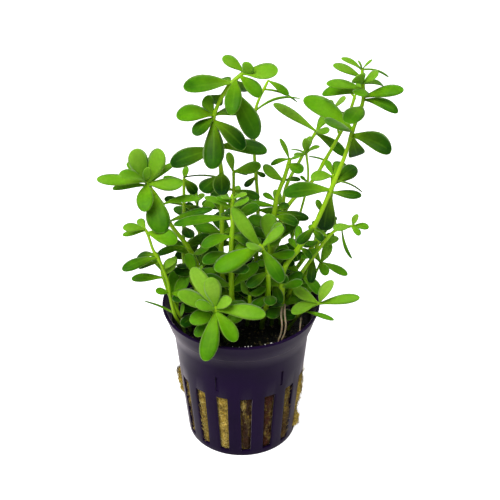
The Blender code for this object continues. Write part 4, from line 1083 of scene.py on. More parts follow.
def leaf_skin(groups):
    """A waxy leaf: deep to fresh green, paler at its midrib and foot, its margin pale with a painted rim
    highlight, duller underneath.
    """
    skin = Finish("leaf_skin", groups)
    run, across, under = skin.held("run"), skin.held("edge"), skin.held("under")
    patches = skin.cloudy(skin.where, 130.0)
    # the tone holds each leaf's own green with painted light and shade in it
    green = skin.ramp(skin.held("tone") + (patches - 0.5) * 0.5, LEAF_GREENS)
    green = skin.mixed(under * 0.3, green, LEAF_UNDER)
    green = skin.mixed((1.0 - run) ** 2.4 * 0.75, green, LEAF_FOOT_GREEN)
    vein = (1.0 - skin.fade(across, 0.02, 0.16)) * (0.34 - run * 0.3)
    green = skin.mixed(vein, green, LEAF_VEIN)
    # partly a pale margin, partly a painted rim highlight along the edge and tip
    green = skin.mixed(skin.fade(across, 0.8, 0.98) * 0.45, green, LEAF_MARGIN_AND_HIGHLIGHT)
    green = skin.mottled(green, scale=900.0, amount=0.15)
    normal, _ = skin.grained(scale=2600.0, strength=0.22, depth=0.00006)
    rough = under * 0.12 + patches * 0.25 + 0.34
    return skin.dressed({"Base Color": green, "Roughness": rough, "Normal": normal},
                        Subsurface_Weight=0.25, Subsurface_Radius=(0.5, 1.0, 0.15),
                        Subsurface_Scale=0.0008, IOR=1.4, Specular_IOR_Level=0.08, Sheen_Weight=0.17,
                        Sheen_Roughness=0.35, Sheen_Tint=(0.8, 1.0, 0.62, 1))


def stem_skin(groups):
    """A juicy stem: bright yellow-green with fine lengthwise streaks and darker blotches, its foot dark with
    painted shade.
    """
    skin = Finish("stem_skin", groups)
    streaks = skin.streaks(across=5.0, along=260.0)
    green = skin.ramp(streaks * 0.55 + skin.cloudy(skin.where, 90.0) * 0.6, STEM_GREENS)
    # painted shade: the stem darkens towards its foot near the wool
    foot = 1.0 - skin.fade(skin.height(), *(z * MM for z in STEM_FOOT_SHADE_Z))
    green = skin.mixed(foot * 0.9, green, STEM_FOOT_SHADE)
    normal, _ = skin.grained(scale=1800.0, strength=0.2, depth=0.00006)
    return skin.dressed({"Base Color": green, "Roughness": streaks * 0.2 + 0.3, "Normal": normal},
                        Subsurface_Weight=0.3, Subsurface_Radius=(0.7, 1.0, 0.2),
                        Subsurface_Scale=0.001, IOR=1.4, Specular_IOR_Level=0.25)


def root_skin(groups):
    """A pale root with brown lengthwise streaks."""
    skin = Finish("root_skin", groups)
    streaks = skin.streaks(across=3.0, along=180.0)
    colour = skin.mottled(skin.ramp(streaks, ROOT_COLOURS), scale=800.0, amount=0.4)
    normal, _ = skin.grained(scale=2200.0, strength=0.5, depth=0.0001)
    return skin.dressed({"Base Color": colour, "Roughness": streaks * 0.3 + 0.4, "Normal": normal},
                        Subsurface_Weight=0.15, Subsurface_Scale=0.0008)


def pot_plastic(groups):
    """Moulded violet-black plastic with a satin skin, dull where wet dust has dried on it."""
    skin = Finish("pot_plastic", groups)
    colour = skin.mottled(PLASTIC, scale=60.0, amount=0.35)
    low_down = 1.0 - skin.fade(skin.height(), 0.0, 0.03)
    dust = skin.fade(skin.cloudy(skin.where, 340.0, 5.0, 0.7), 0.58, 0.8)
    colour = skin.mixed(dust * (0.015 + low_down * 0.04), colour, DRIED_DUST)
    spots = skin.value("ShaderNodeTexVoronoi", {"Vector": skin.where, "Scale": 240.0}, output="Distance")
    here_and_there = skin.fade(skin.cloudy(skin.where, 75.0), 0.6, 0.66)
    spots = (1.0 - skin.fade(spots, 0.04, 0.075)) * here_and_there
    colour = skin.mixed(spots * 0.45, colour, DRIED_DUST)
    normal, _ = skin.grained(scale=1400.0, strength=0.15, depth=0.00005)
    rough = skin.cloudy(skin.where, 110.0, 4.0) * 0.2 + 0.26
    return skin.dressed({"Base Color": colour, "Roughness": rough, "Normal": normal}, IOR=1.35,
                        Specular_IOR_Level=0.1, Specular_Tint=(0.75, 0.6, 1.0, 1), Sheen_Weight=0.3,
                        Sheen_Roughness=0.3, Sheen_Tint=(1.0, 0.88, 0.95, 1))


def wool_colour(skin, shade):
    """Ochre wool, browner and rusty where the mesh says so, near black on top as wet wool with painted shade.
    """
    drawn_out = skin.vector_sum("MULTIPLY", skin.where, (1.0, 1.0, 0.45))
    patches = skin.fade(skin.cloudy(drawn_out, 300.0, 4.0, 0.6), 0.4, 0.6)
    soaked = skin.fade(skin.cloudy(drawn_out, 170.0, 5.0, 0.65), 0.5, 0.62)
    colour = skin.mixed(soaked * 0.75, skin.ramp(shade, WOOL_OCHRES), WOOL_BROWN)
    for stain, patchy, stained in (("brown", 1.1, WOOL_BROWN), ("rust", 0.8, WOOL_RUST)):
        amount = skin.sum("MULTIPLY", skin.held(stain), 0.4 + patches * patchy, clamp=True)
        colour = skin.mixed(amount, colour, stained)
    # wetness with painted shade: the wool turns near black towards its top
    return skin.mixed(skin.held("wet_and_shade"), colour, WOOL_WET_AND_SHADE)


def wool_mat(groups):
    """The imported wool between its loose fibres."""
    skin = Finish("wool_mat", groups)
    colour = wool_colour(skin, skin.cloudy(skin.where, 500.0, 4.0, 0.65))
    colour = skin.mottled(colour, scale=1500.0, amount=0.6)
    normal, _ = skin.grained(scale=2200.0, strength=0.9, depth=0.0003)
    rough = 0.95 - skin.held("wet_and_shade") * 0.35
    return skin.dressed({"Base Color": colour, "Roughness": rough, "Normal": normal}, IOR=1.25)


def wool_fibre(groups):
    """Loose mineral fibres, each of its own shade."""
    skin = Finish("wool_fibre", groups)
    colour = wool_colour(skin, skin.held("shade"))
    normal, bumps = skin.grained(scale=3000.0, strength=0.3, depth=0.0001)
    return skin.dressed({"Base Color": colour, "Roughness": bumps * 0.3 + 0.55, "Normal": normal})


def wet_crumb(groups):
    """Dark crumbs of algae and rotted leaf on the wet top of the wool."""
    skin = Finish("wet_crumb", groups)
    colour = skin.ramp(skin.held("shade") + skin.cloudy(skin.where, 700.0) * 0.3, CRUMB_COLOURS)
    normal, bumps = skin.grained(scale=2400.0, strength=0.8, depth=0.0003)
    joined = {"Base Color": colour, "Roughness": bumps * 0.5 + 0.25, "Normal": normal}
    return skin.dressed(joined, IOR=1.3)


def pale_grit(groups):
    """Grains of pale sand."""
    skin = Finish("pale_grit", groups)
    normal, bumps = skin.grained(scale=3000.0, strength=0.5, depth=0.0002)
    colour = skin.ramp(bumps, GRIT_COLOURS)
    return skin.dressed({"Base Color": colour, "Roughness": bumps * 0.3 + 0.3, "Normal": normal})


def floor_paint():
    """The plain pale floor, which the camera sees as a lit white ground."""
    skin = Finish("pale_floor")
    rough = skin.cloudy(skin.where, 12.0) * 0.1 + 0.75
    seen = skin.value("ShaderNodeLightPath", output="Is Camera Ray")
    joined = {"Roughness": rough, "Emission Color": skin.mixed(seen, BLACK, WHITE)}
    return skin.dressed(joined, Base_Color=(*FLOOR_GREY, 1), IOR=1.1, Emission_Strength=0.85)


# Node trees that grow leaves, stems, fibres and crumbs

def growing_net(name, inputs):
    """A modifier tree that takes a geometry and these named inputs."""
    return new_net(name, "GeometryNodeTree", {"Geometry": "Geometry", **inputs}, {"Geometry": "Geometry"})


def end_net(net, geometry, material, bend=None):
    """The end of a tree: real copies, bent where it says so, shaded smooth and given their material."""
    made = net.value("GeometryNodeRealizeInstances", {"Geometry": geometry})
    if bend is not None:
        made = net.value("GeometryNodeSetPosition", {"Geometry": made, "Offset": bend})
    made = net.value("GeometryNodeSetShadeSmooth", {"Geometry": made})
    made = net.value("GeometryNodeSetMaterial", {"Geometry": made, "Material": material})
    net.node("NodeGroupOutput", {"Geometry": made})
    return net.tree


def reading(net, name, kind="FLOAT"):
    """A named attribute, in a modifier tree."""
    return net.value("GeometryNodeInputNamedAttribute", {"Name": name}, data_type=kind)


def keeping(net, geometry, name, value, kind="FLOAT"):
    """The geometry with a value kept under a name."""
    inputs = {"Geometry": geometry, "Name": name, "Value": value}
    return net.value("GeometryNodeStoreNamedAttribute", inputs, data_type=kind)


def lent_shape(net, item):
    """The shape of another object, in a modifier tree."""
    return net.value("GeometryNodeObjectInfo", {"Object": item}, output="Geometry")


def chance(net, low, high, seed):
    """A random number for each element."""
    inputs = {2: low, 3: high, "Seed": seed}
    return net.value("FunctionNodeRandomValue", inputs, output=1, data_type="FLOAT")


def leaves_tree():
    """Puts a leaf on each point, turned and sized as the point says, then arches and sways it."""
    net = growing_net("leaves on their stems", {"Leaf": "Object", "Flesh": "Float", "Material": "Material"})
    given = net.given()
    along, up = reading(net, "along", "FLOAT_VECTOR"), reading(net, "up", "FLOAT_VECTOR")
    length = net.value("ShaderNodeVectorMath", {0: along}, output="Value", operation="LENGTH")
    width = reading(net, "width")
    turn = net.value("FunctionNodeAxesToRotation", {0: along, 1: up}, primary_axis="Y", secondary_axis="Z")
    inputs = {"Points": given["Geometry"], "Instance": lent_shape(net, given["Leaf"]), "Rotation": turn,
              "Scale": net.combined(width, length, given["Flesh"])}
    leaves = net.value("GeometryNodeInstanceOnPoints", inputs)
    run, across = reading(net, "run"), reading(net, "across")
    in_the_middle = run * (1.0 - run)
    lift = (in_the_middle * reading(net, "arch") - run ** 3.0 * reading(net, "droop")) * length
    cupped = across * across * reading(net, "cup") * width * in_the_middle
    swayed = run * run * reading(net, "sway") * length
    side = net.vector_sum("NORMALIZE", net.vector_sum("CROSS_PRODUCT", along, up))
    bend = net.vector_sum("ADD", net.scaled(up, lift + cupped), net.scaled(side, swayed))
    return end_net(net, leaves, given["Material"], bend)


def strand_tree():
    """Sweeps a round section along a line, as thick as each point says: a stem or a root."""
    net = growing_net("stem along its path", {"Sides": "Int", "Material": "Material"})
    given = net.given()
    line = net.value("GeometryNodeMeshToCurve", {"Mesh": given["Geometry"]})
    line = keeping(net, line, "run", net.value("GeometryNodeSplineParameter", output="Length"))
    ring = net.value("GeometryNodeCurvePrimitiveCircle", {"Resolution": given["Sides"], "Radius": 1.0})
    ring = keeping(net, ring, "round", net.value("GeometryNodeInputPosition"), "FLOAT_VECTOR")
    inputs = {"Curve": line, "Profile Curve": ring, "Scale": reading(net, "thick"), "Fill Caps": True}
    return end_net(net, net.value("GeometryNodeCurveToMesh", inputs), given["Material"])


def scatter_tree():
    """Strews copies of a small shape over a surface, where and as densely as the surface says."""
    net = growing_net("strewn over a surface", {
        "Shape": "Object", "Density": "Float", "Smallest": "Float", "Largest": "Float", "Tilt": "Float",
        "Seed": "Int", "Material": "Material"})
    given = net.given()
    spread = net.node("GeometryNodeDistributePointsOnFaces", {
        "Mesh": given["Geometry"], "Density": reading(net, "showing") * given["Density"],
        "Seed": given["Seed"]})
    points = keeping(net, Value(net, spread.outputs["Points"]), "shade", chance(net, 0.0, 1.0, 5))
    least, most = given["Tilt"] * -1.0, given["Tilt"]
    tilt = net.combined(chance(net, least, most, 1), chance(net, least, most, 2),
                        chance(net, 0.0, 2 * math.pi, 3))
    tilt = net.value("FunctionNodeEulerToRotation", {0: tilt})
    turn = net.value("FunctionNodeRotateRotation", {0: Value(net, spread.outputs["Rotation"]), 1: tilt},
                     rotation_space="LOCAL")
    inputs = {"Points": points, "Instance": lent_shape(net, given["Shape"]), "Rotation": turn,
              "Scale": chance(net, given["Smallest"], given["Largest"], 4)}
    return end_net(net, net.value("GeometryNodeInstanceOnPoints", inputs), given["Material"])


# Meshes and objects

def plain_mesh(item, **options):
    """The mesh that an object's modifiers make."""
    graph = bpy.context.evaluated_depsgraph_get()
    return bpy.data.meshes.new_from_object(item.evaluated_get(graph), depsgraph=graph, **options)


def grown_mesh(name, mesh, tree, **inputs):
    """The plain mesh that a modifier tree makes from a mesh."""
    source = add_object(name, mesh)
    modifier = source.modifiers.new("grow", "NODES")
    modifier.node_group = tree
    for socket in tree.interface.items_tree:
        if socket.in_out == "INPUT" and socket.name.lower() in inputs:
            modifier[socket.identifier] = inputs[socket.name.lower()]
    grown = plain_mesh(source, preserve_all_data_layers=True)
    remove_all(source)
    return grown


def add_object(name, mesh, material=None):
    """An object of a mesh, at the origin."""
    made = bpy.data.objects.new(name, mesh)
    bpy.context.scene.collection.objects.link(made)
    if material:
        mesh.materials.append(material)
    return made


def remove_all(*items):
    """Removes objects that only lent their shapes."""
    for item in items:
        bpy.data.objects.remove(item, do_unlink=True)


def mesh_of(name, points, faces=(), edges=(), unit=MM):
    """A mesh whose points are given in millimetres, or in another unit, with its faces outwards."""
    mesh = bpy.data.meshes.new(name)
    mesh.from_pydata([Vector(p) * unit for p in points], edges, faces)
    if faces:
        shape = bmesh.new()
        shape.from_mesh(mesh)
        bmesh.ops.recalc_face_normals(shape, faces=shape.faces)
        shape.to_mesh(mesh)
        shape.free()
    return mesh


def keep_values(mesh, **lists):
    """Keeps a list of numbers or of vectors on the mesh's points, each under its name."""
    for name, values in lists.items():
        if isinstance(values[0], (int, float)):
            mesh.attributes.new(name, "FLOAT", "POINT").data.foreach_set("value", values)
        else:
            flat = [part for value in values for part in value]
            mesh.attributes.new(name, "FLOAT_VECTOR", "POINT").data.foreach_set("vector", flat)


def finish_piece(piece, slot, *nodes):
    """Makes a piece ride on the plant's one body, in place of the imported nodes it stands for."""
    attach(piece, "root")
    if nodes:
        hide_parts(*nodes)


# Shoots and roots

def unit_leaf():
    """A leaf of length 1 along Y, 1 wide and 1 thick, with its top up: a grooved midrib, a keel under it
    and rounded margins."""
    top = ((-1, 0.0), (-0.6, 0.4), (0, 0.42), (0.6, 0.4))
    section = (*top, (1, 0.0), (0.6, -0.36), (0, -0.58), (-0.6, -0.36))
    steps = (0.0, 0.07, 0.17, 0.29, 0.42, 0.55, LEAF_WIDEST, 0.76, 0.85, 0.915, 0.96, 0.988)
    points, run, across, edge, under = [], [], [], [], []
    for t in steps:
        half = leaf_outline(t) / 2
        flesh = (1.15 - 0.45 * t) * min(1.0, ((1 - t) / 0.1) ** 0.5)
        for s, height in section:
            points.append((s * half, t, height * flesh))
            run.append(t)
            across.append(s)
            edge.append(max(abs(s), held_in((t - 0.9) / 0.09)))
            under.append(1.0 if height < 0 else 0.0)
    foot, tip = len(points), len(points) + 1
    points += [(0, -0.02, 0), (0, 1.0, 0)]
    faces = row_faces(len(steps), len(section)) + cap_faces(len(steps), len(section), foot, tip)
    mesh = mesh_of("unit_leaf", points, faces, unit=1.0)
    keep_values(mesh, run=[*run, 0.0, 1.0], across=[*across, 0.0, 0.0], edge=[*edge, 0.0, 1.0],
                under=[*under, 0.0, 0.0])
    return add_object("unit_leaf", mesh)


class PlantKit(NamedTuple):
    """What every shoot is made with."""

    leaves: bpy.types.NodeTree
    strand: bpy.types.NodeTree
    unit_leaf: bpy.types.Object
    leaf_skin: bpy.types.Material
    stem_skin: bpy.types.Material


def leaf_mesh(name, leaves, kit):
    """The mesh of some fine leaves."""
    mesh = mesh_of(name, [leaf.foot for leaf in leaves])
    values = {key: [] for key in LEAF_CHANCE}
    for leaf in leaves:
        draw = random.Random(leaf.label)
        own = {"tone": leaf.tone, "arch": 4 * LEAF_ARCH}
        for key, spread in LEAF_CHANCE.items():
            values[key].append(own.get(key, 0.0) + draw.uniform(*spread))
    keep_values(mesh, width=[leaf.width * MM for leaf in leaves], up=[leaf.up for leaf in leaves],
                along=[leaf.along * MM for leaf in leaves], **values)
    return grown_mesh(name, mesh, kit.leaves, leaf=kit.unit_leaf, flesh=LEAF_FLESH * MM,
                      material=kit.leaf_skin)


def strand_mesh(name, path, thick, swells, tree, **inputs):
    """A round strand along a path, thicker at the given heights, rounded off at its top."""
    radii = []
    for k, point in enumerate(path):
        swell = max((math.exp(-((point.z - z) / NODE_REACH) ** 2) for z in swells), default=0.0)
        rounding = min(1.0, BLUNT_END + (path[-1] - point).length / BLUNT_REACH)
        radii.append(radius_along(thick, k / (len(path) - 1)) * (1 + NODE_SWELL * swell) * rounding * MM)
    mesh = mesh_of(name, path, edges=[(k, k + 1) for k in range(len(path) - 1)])
    keep_values(mesh, thick=radii)
    return grown_mesh(name, mesh, tree, **inputs)


def joined_object(name, meshes):
    """One object of several meshes, with their materials and values."""
    parts = [add_object(name, mesh) for mesh in meshes]
    with bpy.context.temp_override(active_object=parts[0], selected_editable_objects=parts):
        bpy.ops.object.join()
    return parts[0]


def sunk(point):
    """A stem's or root's end, moved on down into the wool."""
    return point - Vector((0, 0, STEM_SUNK))


def make_shoot(name, leaves, path, kit):
    """A stem with its short leaves, and each long leaf as a piece of its own, as they are packed."""
    shoot = SHOOTS[name]
    nodes_z = [leaf.z for leaf in (*shoot.leaves, *pair_leaves(shoot))]
    meshes = [strand_mesh(f"stalk_{name}", [sunk(path[0]), *path[1:]], shoot.thick, nodes_z, kit.strand,
                          sides=FINE_SIDES, material=kit.stem_skin)]
    short = [leaf for leaf in leaves if not leaf.own_node]
    if short:
        meshes.append(leaf_mesh(f"leaves_{name}", short, kit))
    finish_piece(joined_object(f"shoot_{name}", meshes), "stem", f"stem_{name}")
    for leaf in leaves:
        if leaf.own_node:
            piece = f"blade_{leaf.label}"
            finish_piece(add_object(piece, leaf_mesh(piece, [leaf], kit)), "leaf", f"leaf_{leaf.label}")


def make_shoots(groups):
    """Every shoot of the plant."""
    kit = PlantKit(leaves_tree(), groups.strand, unit_leaf(), leaf_skin(groups), stem_skin(groups))
    grown, stems = grown_leaves()
    for name, leaves in grown.items():
        make_shoot(name, leaves, stems[name].path, kit)
    remove_all(kit.unit_leaf)


def make_root_strands(groups):
    """The roots, a little wavy, from the stems' feet down into the wool."""
    skin = root_skin(groups)
    for name, path in ROOTS.items():
        points = smooth_path(path, FINE_ROOT_RING)
        for k, point in enumerate(points):
            point.x += ROOT_WAVE * math.sin(0.9 * k)
        points[-1] = sunk(points[-1])
        mesh = strand_mesh(name, points, ROOT_THICK, (), groups.strand, sides=FINE_ROOT_SIDES,
                           material=skin)
        finish_piece(add_object(name.replace("root", "root_strand"), mesh), "root", name)


# Net pot

def slot_columns(z, radius, inset, slot_steps, rib_steps):
    """Angles round the pot at height z, in whole steps across each slot and each rib after it."""
    up = held_in((z - SLOT_BOTTOM_Z) / (SLOT_TOP_Z - SLOT_BOTTOM_Z))
    width = SLOT_BOTTOM_WIDTH + (SLOT_TOP_WIDTH - SLOT_BOTTOM_WIDTH) * up - 2 * inset
    half = math.asin(width / 2 / radius)
    pitch = 2 * math.pi / SLOTS
    angles = []
    for k in range(SLOTS):
        middle = FIRST_SLOT + pitch * k
        angles += [middle - half + 2 * half * n / slot_steps for n in range(slot_steps)]
        angles += [middle + half + (pitch - 2 * half) * n / rib_steps for n in range(rib_steps)]
    return angles


def pot_profile(slot_heights):
    """The pot's wall as (radius, z), up its outside and down its inside, with a row at each slot height."""
    outside = [
        (BASE_RADIUS - 0.45, 0.0), (BASE_RADIUS - 0.12, 0.1), (BASE_RADIUS, 0.4),
        *((wall_radius(z), z) for z in slot_heights),
        (wall_radius(SHOULDER_Z), SHOULDER_Z), (WAIST_RADIUS, WAIST_Z), (BAND_RADIUS - 0.35, BAND_Z - 0.2),
        (BAND_RADIUS - 0.12, BAND_Z + 0.05), (BAND_RADIUS + 0.12, BAND_Z + 0.4),
        (wall_radius(FLARE_Z), FLARE_Z), (RIM_RADIUS, POT_HEIGHT - 0.5),
        (RIM_RADIUS - 0.1, POT_HEIGHT - 0.15), (RIM_RADIUS - 0.4, POT_HEIGHT),
    ]
    inside = [
        (RIM_RADIUS - 0.85, POT_HEIGHT - 0.05), (RIM_RADIUS - WALL - 0.1, POT_HEIGHT - 0.4),
        (wall_radius(FLARE_Z) - WALL, FLARE_Z), (BAND_RADIUS - WALL, BAND_Z),
        (WAIST_RADIUS - WALL, WAIST_Z), (wall_radius(SHOULDER_Z) - WALL, SHOULDER_Z),
        *((wall_radius(z) - WALL, z) for z in reversed(slot_heights)),
        (wall_radius(FLOOR) - WALL, FLOOR),
    ]
    return outside, inside


def pot_wall_mesh():
    """The pot's wall, rim and floor in one closed skin, open at its slots."""
    slot_steps, rib_steps, rows_in_slot = 4, 4, 8
    per_slot = slot_steps + rib_steps
    columns = SLOTS * per_slot
    rise = (SLOT_TOP_Z - SLOT_BOTTOM_Z) / rows_in_slot
    outside, inside = pot_profile([SLOT_BOTTOM_Z + rise * n for n in range(rows_in_slot + 1)])
    rows = outside + inside
    low_out, low_in = 3, len(rows) - 2
    high_out, high_in = low_out + rows_in_slot, low_in - rows_in_slot
    points = []
    for radius, z in rows:
        angles = slot_columns(z, radius, 0.0, slot_steps, rib_steps)
        points += [at_angle(angle, radius, z) for angle in angles]

    def in_slot(point):
        row, column = divmod(point, columns)
        beside = low_out <= row < high_out or high_in <= row < low_in
        return beside and column % per_slot < slot_steps

    faces = [face for face in row_faces(len(rows), columns) if not in_slot(face[0])]
    for first in range(0, columns, per_slot):
        for column in (first, first + slot_steps):
            for n in range(rows_in_slot):
                a, b = (low_out + n) * columns + column, (low_in - n) * columns + column
                faces.append((a, a + columns, b - columns, b))
        for column in range(first, first + slot_steps):
            for outer, inner in ((low_out, low_in), (high_out, high_in)):
                a, b = outer * columns + column, inner * columns + column
                faces.append((a, a + 1, b + 1, b))
    under, floor = len(points), len(points) + 1
    points += [Vector((0, 0, 0)), Vector((0, 0, FLOOR))]
    faces += cap_faces(len(rows), columns, under, floor)
    return mesh_of("slotted_pot", points, faces)


def wedge_mesh(name, wedges):
    """Separate upright blocks, each (angle, inner radius, outer radius, width, low z, high z)."""
    points, faces = [], []
    for angle, inner, outer, width, low, high in wedges:
        across = Vector((-math.sin(angle), math.cos(angle), 0)) * width / 2
        first = len(points)
        for z in (low, high):
            for radius, side in ((inner, -1), (outer, -1), (outer, 1), (inner, 1)):
                points.append(at_angle(angle, radius, z) + across * side)
        faces += [tuple(first + n for n in face) for face in (*row_faces(2, 4), (3, 2, 1, 0), (4, 5, 6, 7))]
    return mesh_of(name, points, faces)


def make_pot(groups):
    """The pot, with softened edges, stacking grooves round it and slots in its floor."""
    pot = add_object("slotted_pot", pot_wall_mesh(), pot_plastic(groups))
    softened = pot.modifiers.new("softened edges", "BEVEL")
    softened.width = EDGE_ROUNDING * MM
    softened.segments = 2
    softened.limit_method = "ANGLE"
    softened.angle_limit = ROUNDED_EDGES
    groove_floor = wall_radius(GROOVE_Z[0]) - GROOVE_DEPTH / 2
    grooves = [
        (FIRST_GROOVE + 2 * math.pi * k / GROOVES, groove_floor, RIM_RADIUS, GROOVE_WIDTH, *GROOVE_Z)
        for k in range(GROOVES)
    ]
    holes = [
        (2 * math.pi * (k + 0.5) / FLOOR_SLOTS, *FLOOR_SLOT_REACH, FLOOR_SLOT_WIDTH, -1, FLOOR + 1)
        for k in range(FLOOR_SLOTS)
    ]
    cutters = [add_object(name, wedge_mesh(name, wedges))
               for name, wedges in (("grooves", grooves), ("holes", holes))]
    for cutter in cutters:
        cut = pot.modifiers.new(cutter.name, "BOOLEAN")
        cut.operation = "DIFFERENCE"
        cut.solver = "EXACT"
        cut.object = cutter
    mesh = plain_mesh(pot)
    mesh.shade_smooth()
    mesh.set_sharp_from_angle(angle=SHARP_EDGES)
    pot.modifiers.clear()
    pot.data = mesh
    remove_all(*cutters)
    finish_piece(pot, "pot", "net_pot")


# Wool, crumbs and grit

class WoolSkin:
    """The points of the wool's skin, and on each how much it shows in a slot and how stained it is."""

    def __init__(self):
        self.points = []
        self.values = {name: [] for name in ("showing", "brown", "rust", "wet_and_shade")}

    def add(self, point, *values):
        self.points.append(point)
        for name, value in zip(self.values, values):
            self.values[name].append(value)


def add_wool_side(skin, z):
    """One row round the wool at height z, which bulges through the slots."""
    inner = wall_radius(z) - WALL - GAP
    into_slot = min(z - SLOT_BOTTOM_Z, SLOT_TOP_Z - z) - WOOL_BULGE_FROM
    window = min(1.0, into_slot / WOOL_BULGE_WITHIN)
    # how wet the wool is here, which also paints shade on it
    wet_and_shade = between(WOOL_DAMP_AND_SHADE, z)
    for n, angle in enumerate(slot_columns(z, wall_radius(z), GAP + 0.1, *WOOL_STEPS)):
        slot, step = divmod(n, sum(WOOL_STEPS))
        across = 2 * step / WOOL_STEPS[0] - 1
        bulge = max(0.0, 1 - across**4) ** 0.5 if step < WOOL_STEPS[0] and window > 0 else 0.0
        swell = between(WOOL_SWELL.get(slot, WOOL_IN_SLOT), z)
        place = at_angle(angle, 20, z)
        clumps = noise.noise(place * 0.55) + 0.6 * noise.noise(place * 1.6)
        out = WALL + GAP + swell - WOOL_SUNK + WOOL_CLUMPS * clumps
        out *= bulge * max(0.0, window) ** 0.5
        brown, rust = WOOL_STAIN.get(slot, WOOL_PLAIN_STAIN)
        skin.add(at_angle(angle, inner + out, z), 1.0 if bulge > 0 else 0.0, brown, rust, wet_and_shade)


def add_wool_ring(skin, z, reach):
    """One ring of the wool's rough, sunken top, at a part of its radius."""
    radius = (wall_radius(z) - WALL - GAP) * reach
    for angle in slot_columns(z, wall_radius(40), GAP, *WOOL_STEPS):
        rough = noise.noise(at_angle(angle, radius, 0) * 0.35)
        rough += 0.5 * noise.noise(at_angle(angle, radius, 3) * 1.1)
        height = z + WOOL_CROWN * min(1.0, 3 * (1 - reach)) * (0.35 + 0.65 * rough)
        # the top is fully wet, which also paints it near black as shade
        skin.add(at_angle(angle, radius, min(height, WOOL_TOP_Z)), 0.0, *WOOL_TOP_STAIN, 1.0)


def wool_surface():
    """The wool's skin: it fills the pot, bulges through the slots and has a rough, sunken top."""
    columns = SLOTS * sum(WOOL_STEPS)
    low, high = FLOOR + GAP, WOOL_TOP_Z - WOOL_CROWN
    skin = WoolSkin()
    for n in range(WOOL_ROWS + 1):
        add_wool_side(skin, low + (high - low) * n / WOOL_ROWS)
    for ring in range(1, WOOL_RINGS):
        add_wool_ring(skin, high, 1 - ring / WOOL_RINGS)
    rows = WOOL_ROWS + WOOL_RINGS
    top, bottom = len(skin.points), len(skin.points) + 1
    skin.add(Vector((0, 0, WOOL_TOP_Z - 0.2)), 0.0, *WOOL_TOP_STAIN, 1.0)
    skin.add(Vector((0, 0, low)), 0.0, *WOOL_UNDER_STAIN, 0.0)
    faces = row_faces(rows, columns) + cap_faces(rows, columns, bottom, top)
    mesh = mesh_of("wool_plug", skin.points, faces)
    keep_values(mesh, **skin.values)
    mesh.shade_smooth()
    return mesh


def fibre_shape():
    """A bent fibre of length 1 along X, lying over the surface it is strewn on."""
    line = [(-0.5, 0.0, 0.0), (-0.25, 0.07, 0.05), (0.0, 0.02, 0.09), (0.27, -0.08, 0.06),
            (0.5, -0.02, -0.01)]
    points, faces = tube([Vector(point) for point in line], (0.03, 0.024), 3)
    return add_object("fibre", mesh_of("fibre", points, faces, unit=1.0))


def crumb_shape():
    """A small uneven lump about 1 across."""
    shape = bmesh.new()
    bmesh.ops.create_icosphere(shape, subdivisions=1, radius=0.5)
    for vertex in shape.verts:
        lump = 1 + 0.5 * noise.noise(vertex.co * 3.1)
        vertex.co = Vector((vertex.co.x * lump, vertex.co.y * lump, 0.6 * vertex.co.z * lump))
    mesh = bpy.data.meshes.new("crumb")
    shape.to_mesh(mesh)
    shape.free()
    return add_object("crumb", mesh)


def make_strewn(name, surface, showing, tree, **inputs):
    """Small shapes strewn over a copy of a surface, where showing says for each of its points."""
    mesh = surface.copy()
    mesh.attributes["showing"].data.foreach_set("value", showing)
    inputs["density"] *= PER_SQUARE_MM
    finish_piece(add_object(name, grown_mesh(f"{name}_bed", mesh, tree, **inputs)), "wool")


def make_wool(groups):
    """The wool, loose fibres over its swellings, and a bed of crumbs on its top."""
    surface = wool_surface()
    surface.materials.append(wool_mat(groups))
    finish_piece(add_object("wool_plug", surface), "wool", "mineral_wool")
    in_slots = [0.0] * len(surface.vertices)
    surface.attributes["showing"].data.foreach_get("value", in_slots)
    on_top = [1.0 if v.co.z > CRUMBS_FROM_Z * MM and v.co.xy.length < CRUMBS_WITHIN * MM else 0.0
              for v in surface.vertices]
    fibre, crumb, tree = fibre_shape(), crumb_shape(), scatter_tree()
    make_strewn("wool_fibres", surface, in_slots, tree, shape=fibre, density=1.7, smallest=1.8 * MM,
                largest=4.6 * MM, tilt=0.14, seed=3, material=wool_fibre(groups))
    make_strewn("wool_crumbs", surface, on_top, tree, shape=crumb, density=0.75, smallest=0.35 * MM,
                largest=1.3 * MM, tilt=0.5, seed=7, material=wet_crumb(groups))
    remove_all(fibre, crumb)


def make_rim_grit(groups):
    """A few grains of pale sand stuck to the front of the rim."""
    draw = random.Random("rim grit")
    axes = Matrix.Identity(3)
    corners = [axis * way for axis in axes for way in (1, -1)]
    sides = ((0, 2, 4), (2, 1, 4), (1, 3, 4), (3, 0, 4), (2, 0, 5), (1, 2, 5), (3, 1, 5), (0, 3, 5))
    points, faces = [], []
    for _ in range(GRIT_GRAINS):
        angle = math.radians(draw.uniform(*GRIT_ANGLES))
        radius = RIM_RADIUS - draw.uniform(*GRIT_IN_FROM_RIM)
        z = POT_HEIGHT + 0.1 - GRIT_SLOPE * max(0.0, RIM_RADIUS - WALL - radius)
        size = draw.uniform(*GRIT_SIZES)
        faces += [tuple(len(points) + corner for corner in side) for side in sides]
        points += [at_angle(angle, radius, z) + corner * size * draw.uniform(0.7, 1.2) for corner in corners]
    finish_piece(add_object("rim_grit", mesh_of("rim_grit", points, faces), pale_grit(groups)), "wool")


# View, floor and light

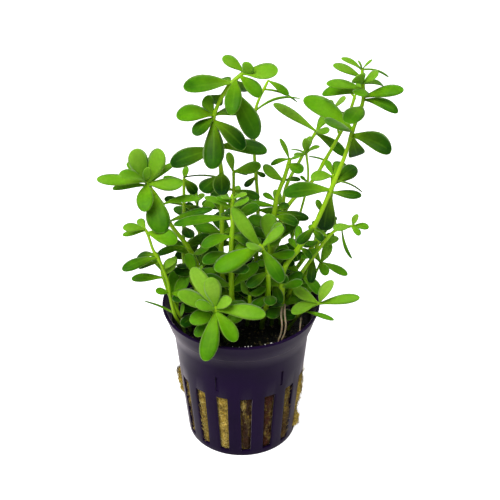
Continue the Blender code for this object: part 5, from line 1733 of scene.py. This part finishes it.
def make_camera():
    """The photo's view: over the front of the pot, turned a little about its own line of sight."""
    forward = Vector((0, math.cos(CAMERA_ELEVATION), -math.sin(CAMERA_ELEVATION)))
    level = Vector((1, 0, 0))
    upright = level.cross(forward)
    right = level * math.cos(CAMERA_ROLL) + upright * math.sin(CAMERA_ROLL)
    up = upright * math.cos(CAMERA_ROLL) - level * math.sin(CAMERA_ROLL)
    camera = bpy.data.objects.new("camera", bpy.data.cameras.new("camera"))
    camera.data.sensor_width = SENSOR_WIDTH
    camera.data.lens = FOCAL_PIXELS / PHOTO_SIDE * SENSOR_WIDTH
    camera.data.clip_start = 0.01
    place = Matrix((right, up, -forward)).transposed().to_4x4()
    place.translation = (LOOKS_AT - forward * CAMERA_DISTANCE) * MM
    camera.matrix_world = place
    bpy.context.scene.collection.objects.link(camera)
    bpy.context.scene.camera = camera


def make_floor():
    """A wide floor just under the pot."""
    floor = add_object("floor", mesh_of("floor", *turned([(0, 0), (FLOOR_REACH, 0)], 64)), floor_paint())
    floor.location.z = -0.02 * MM
    floor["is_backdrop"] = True


def add_area_light(name, place, size, power):
    """A soft square light that shines on the middle of the plant."""
    light = bpy.data.lights.new(name, "AREA")
    light.size = size * MM
    light.energy = power
    lamp = bpy.data.objects.new(name, light)
    lamp.location = Vector(place) * MM
    lamp.rotation_euler = (LOOKS_AT - Vector(place)).to_track_quat("-Z", "Y").to_euler()
    bpy.context.scene.collection.objects.link(lamp)


def make_light():
    """A white room with a large soft light above the front and a weaker one behind."""
    world = bpy.data.worlds.new("white room")
    world.use_nodes = True
    background = world.node_tree.nodes["Background"].inputs
    background["Color"].default_value = (*WHITE, 1)
    background["Strength"].default_value = ROOM_LIGHT
    bpy.context.scene.world = world
    bpy.context.scene.view_settings.view_transform = "Standard"
    add_area_light("key_light", *KEY_LIGHT)
    add_area_light("back_light", *BACK_LIGHT)


def write_sizes():
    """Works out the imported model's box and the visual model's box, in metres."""
    boxes = {"cad": cad_box, "visual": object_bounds()}
    sizes = {name: [list(low), list(high)] for name, (low, high) in boxes.items()}


def main():
    make_camera()
    make_floor()
    make_light()
    groups = Groups(mottle_group(), grain_group(), strand_tree())
    for make in (make_pot, make_wool, make_rim_grit, make_root_strands, make_shoots):
        make(groups)
    write_sizes()


main()
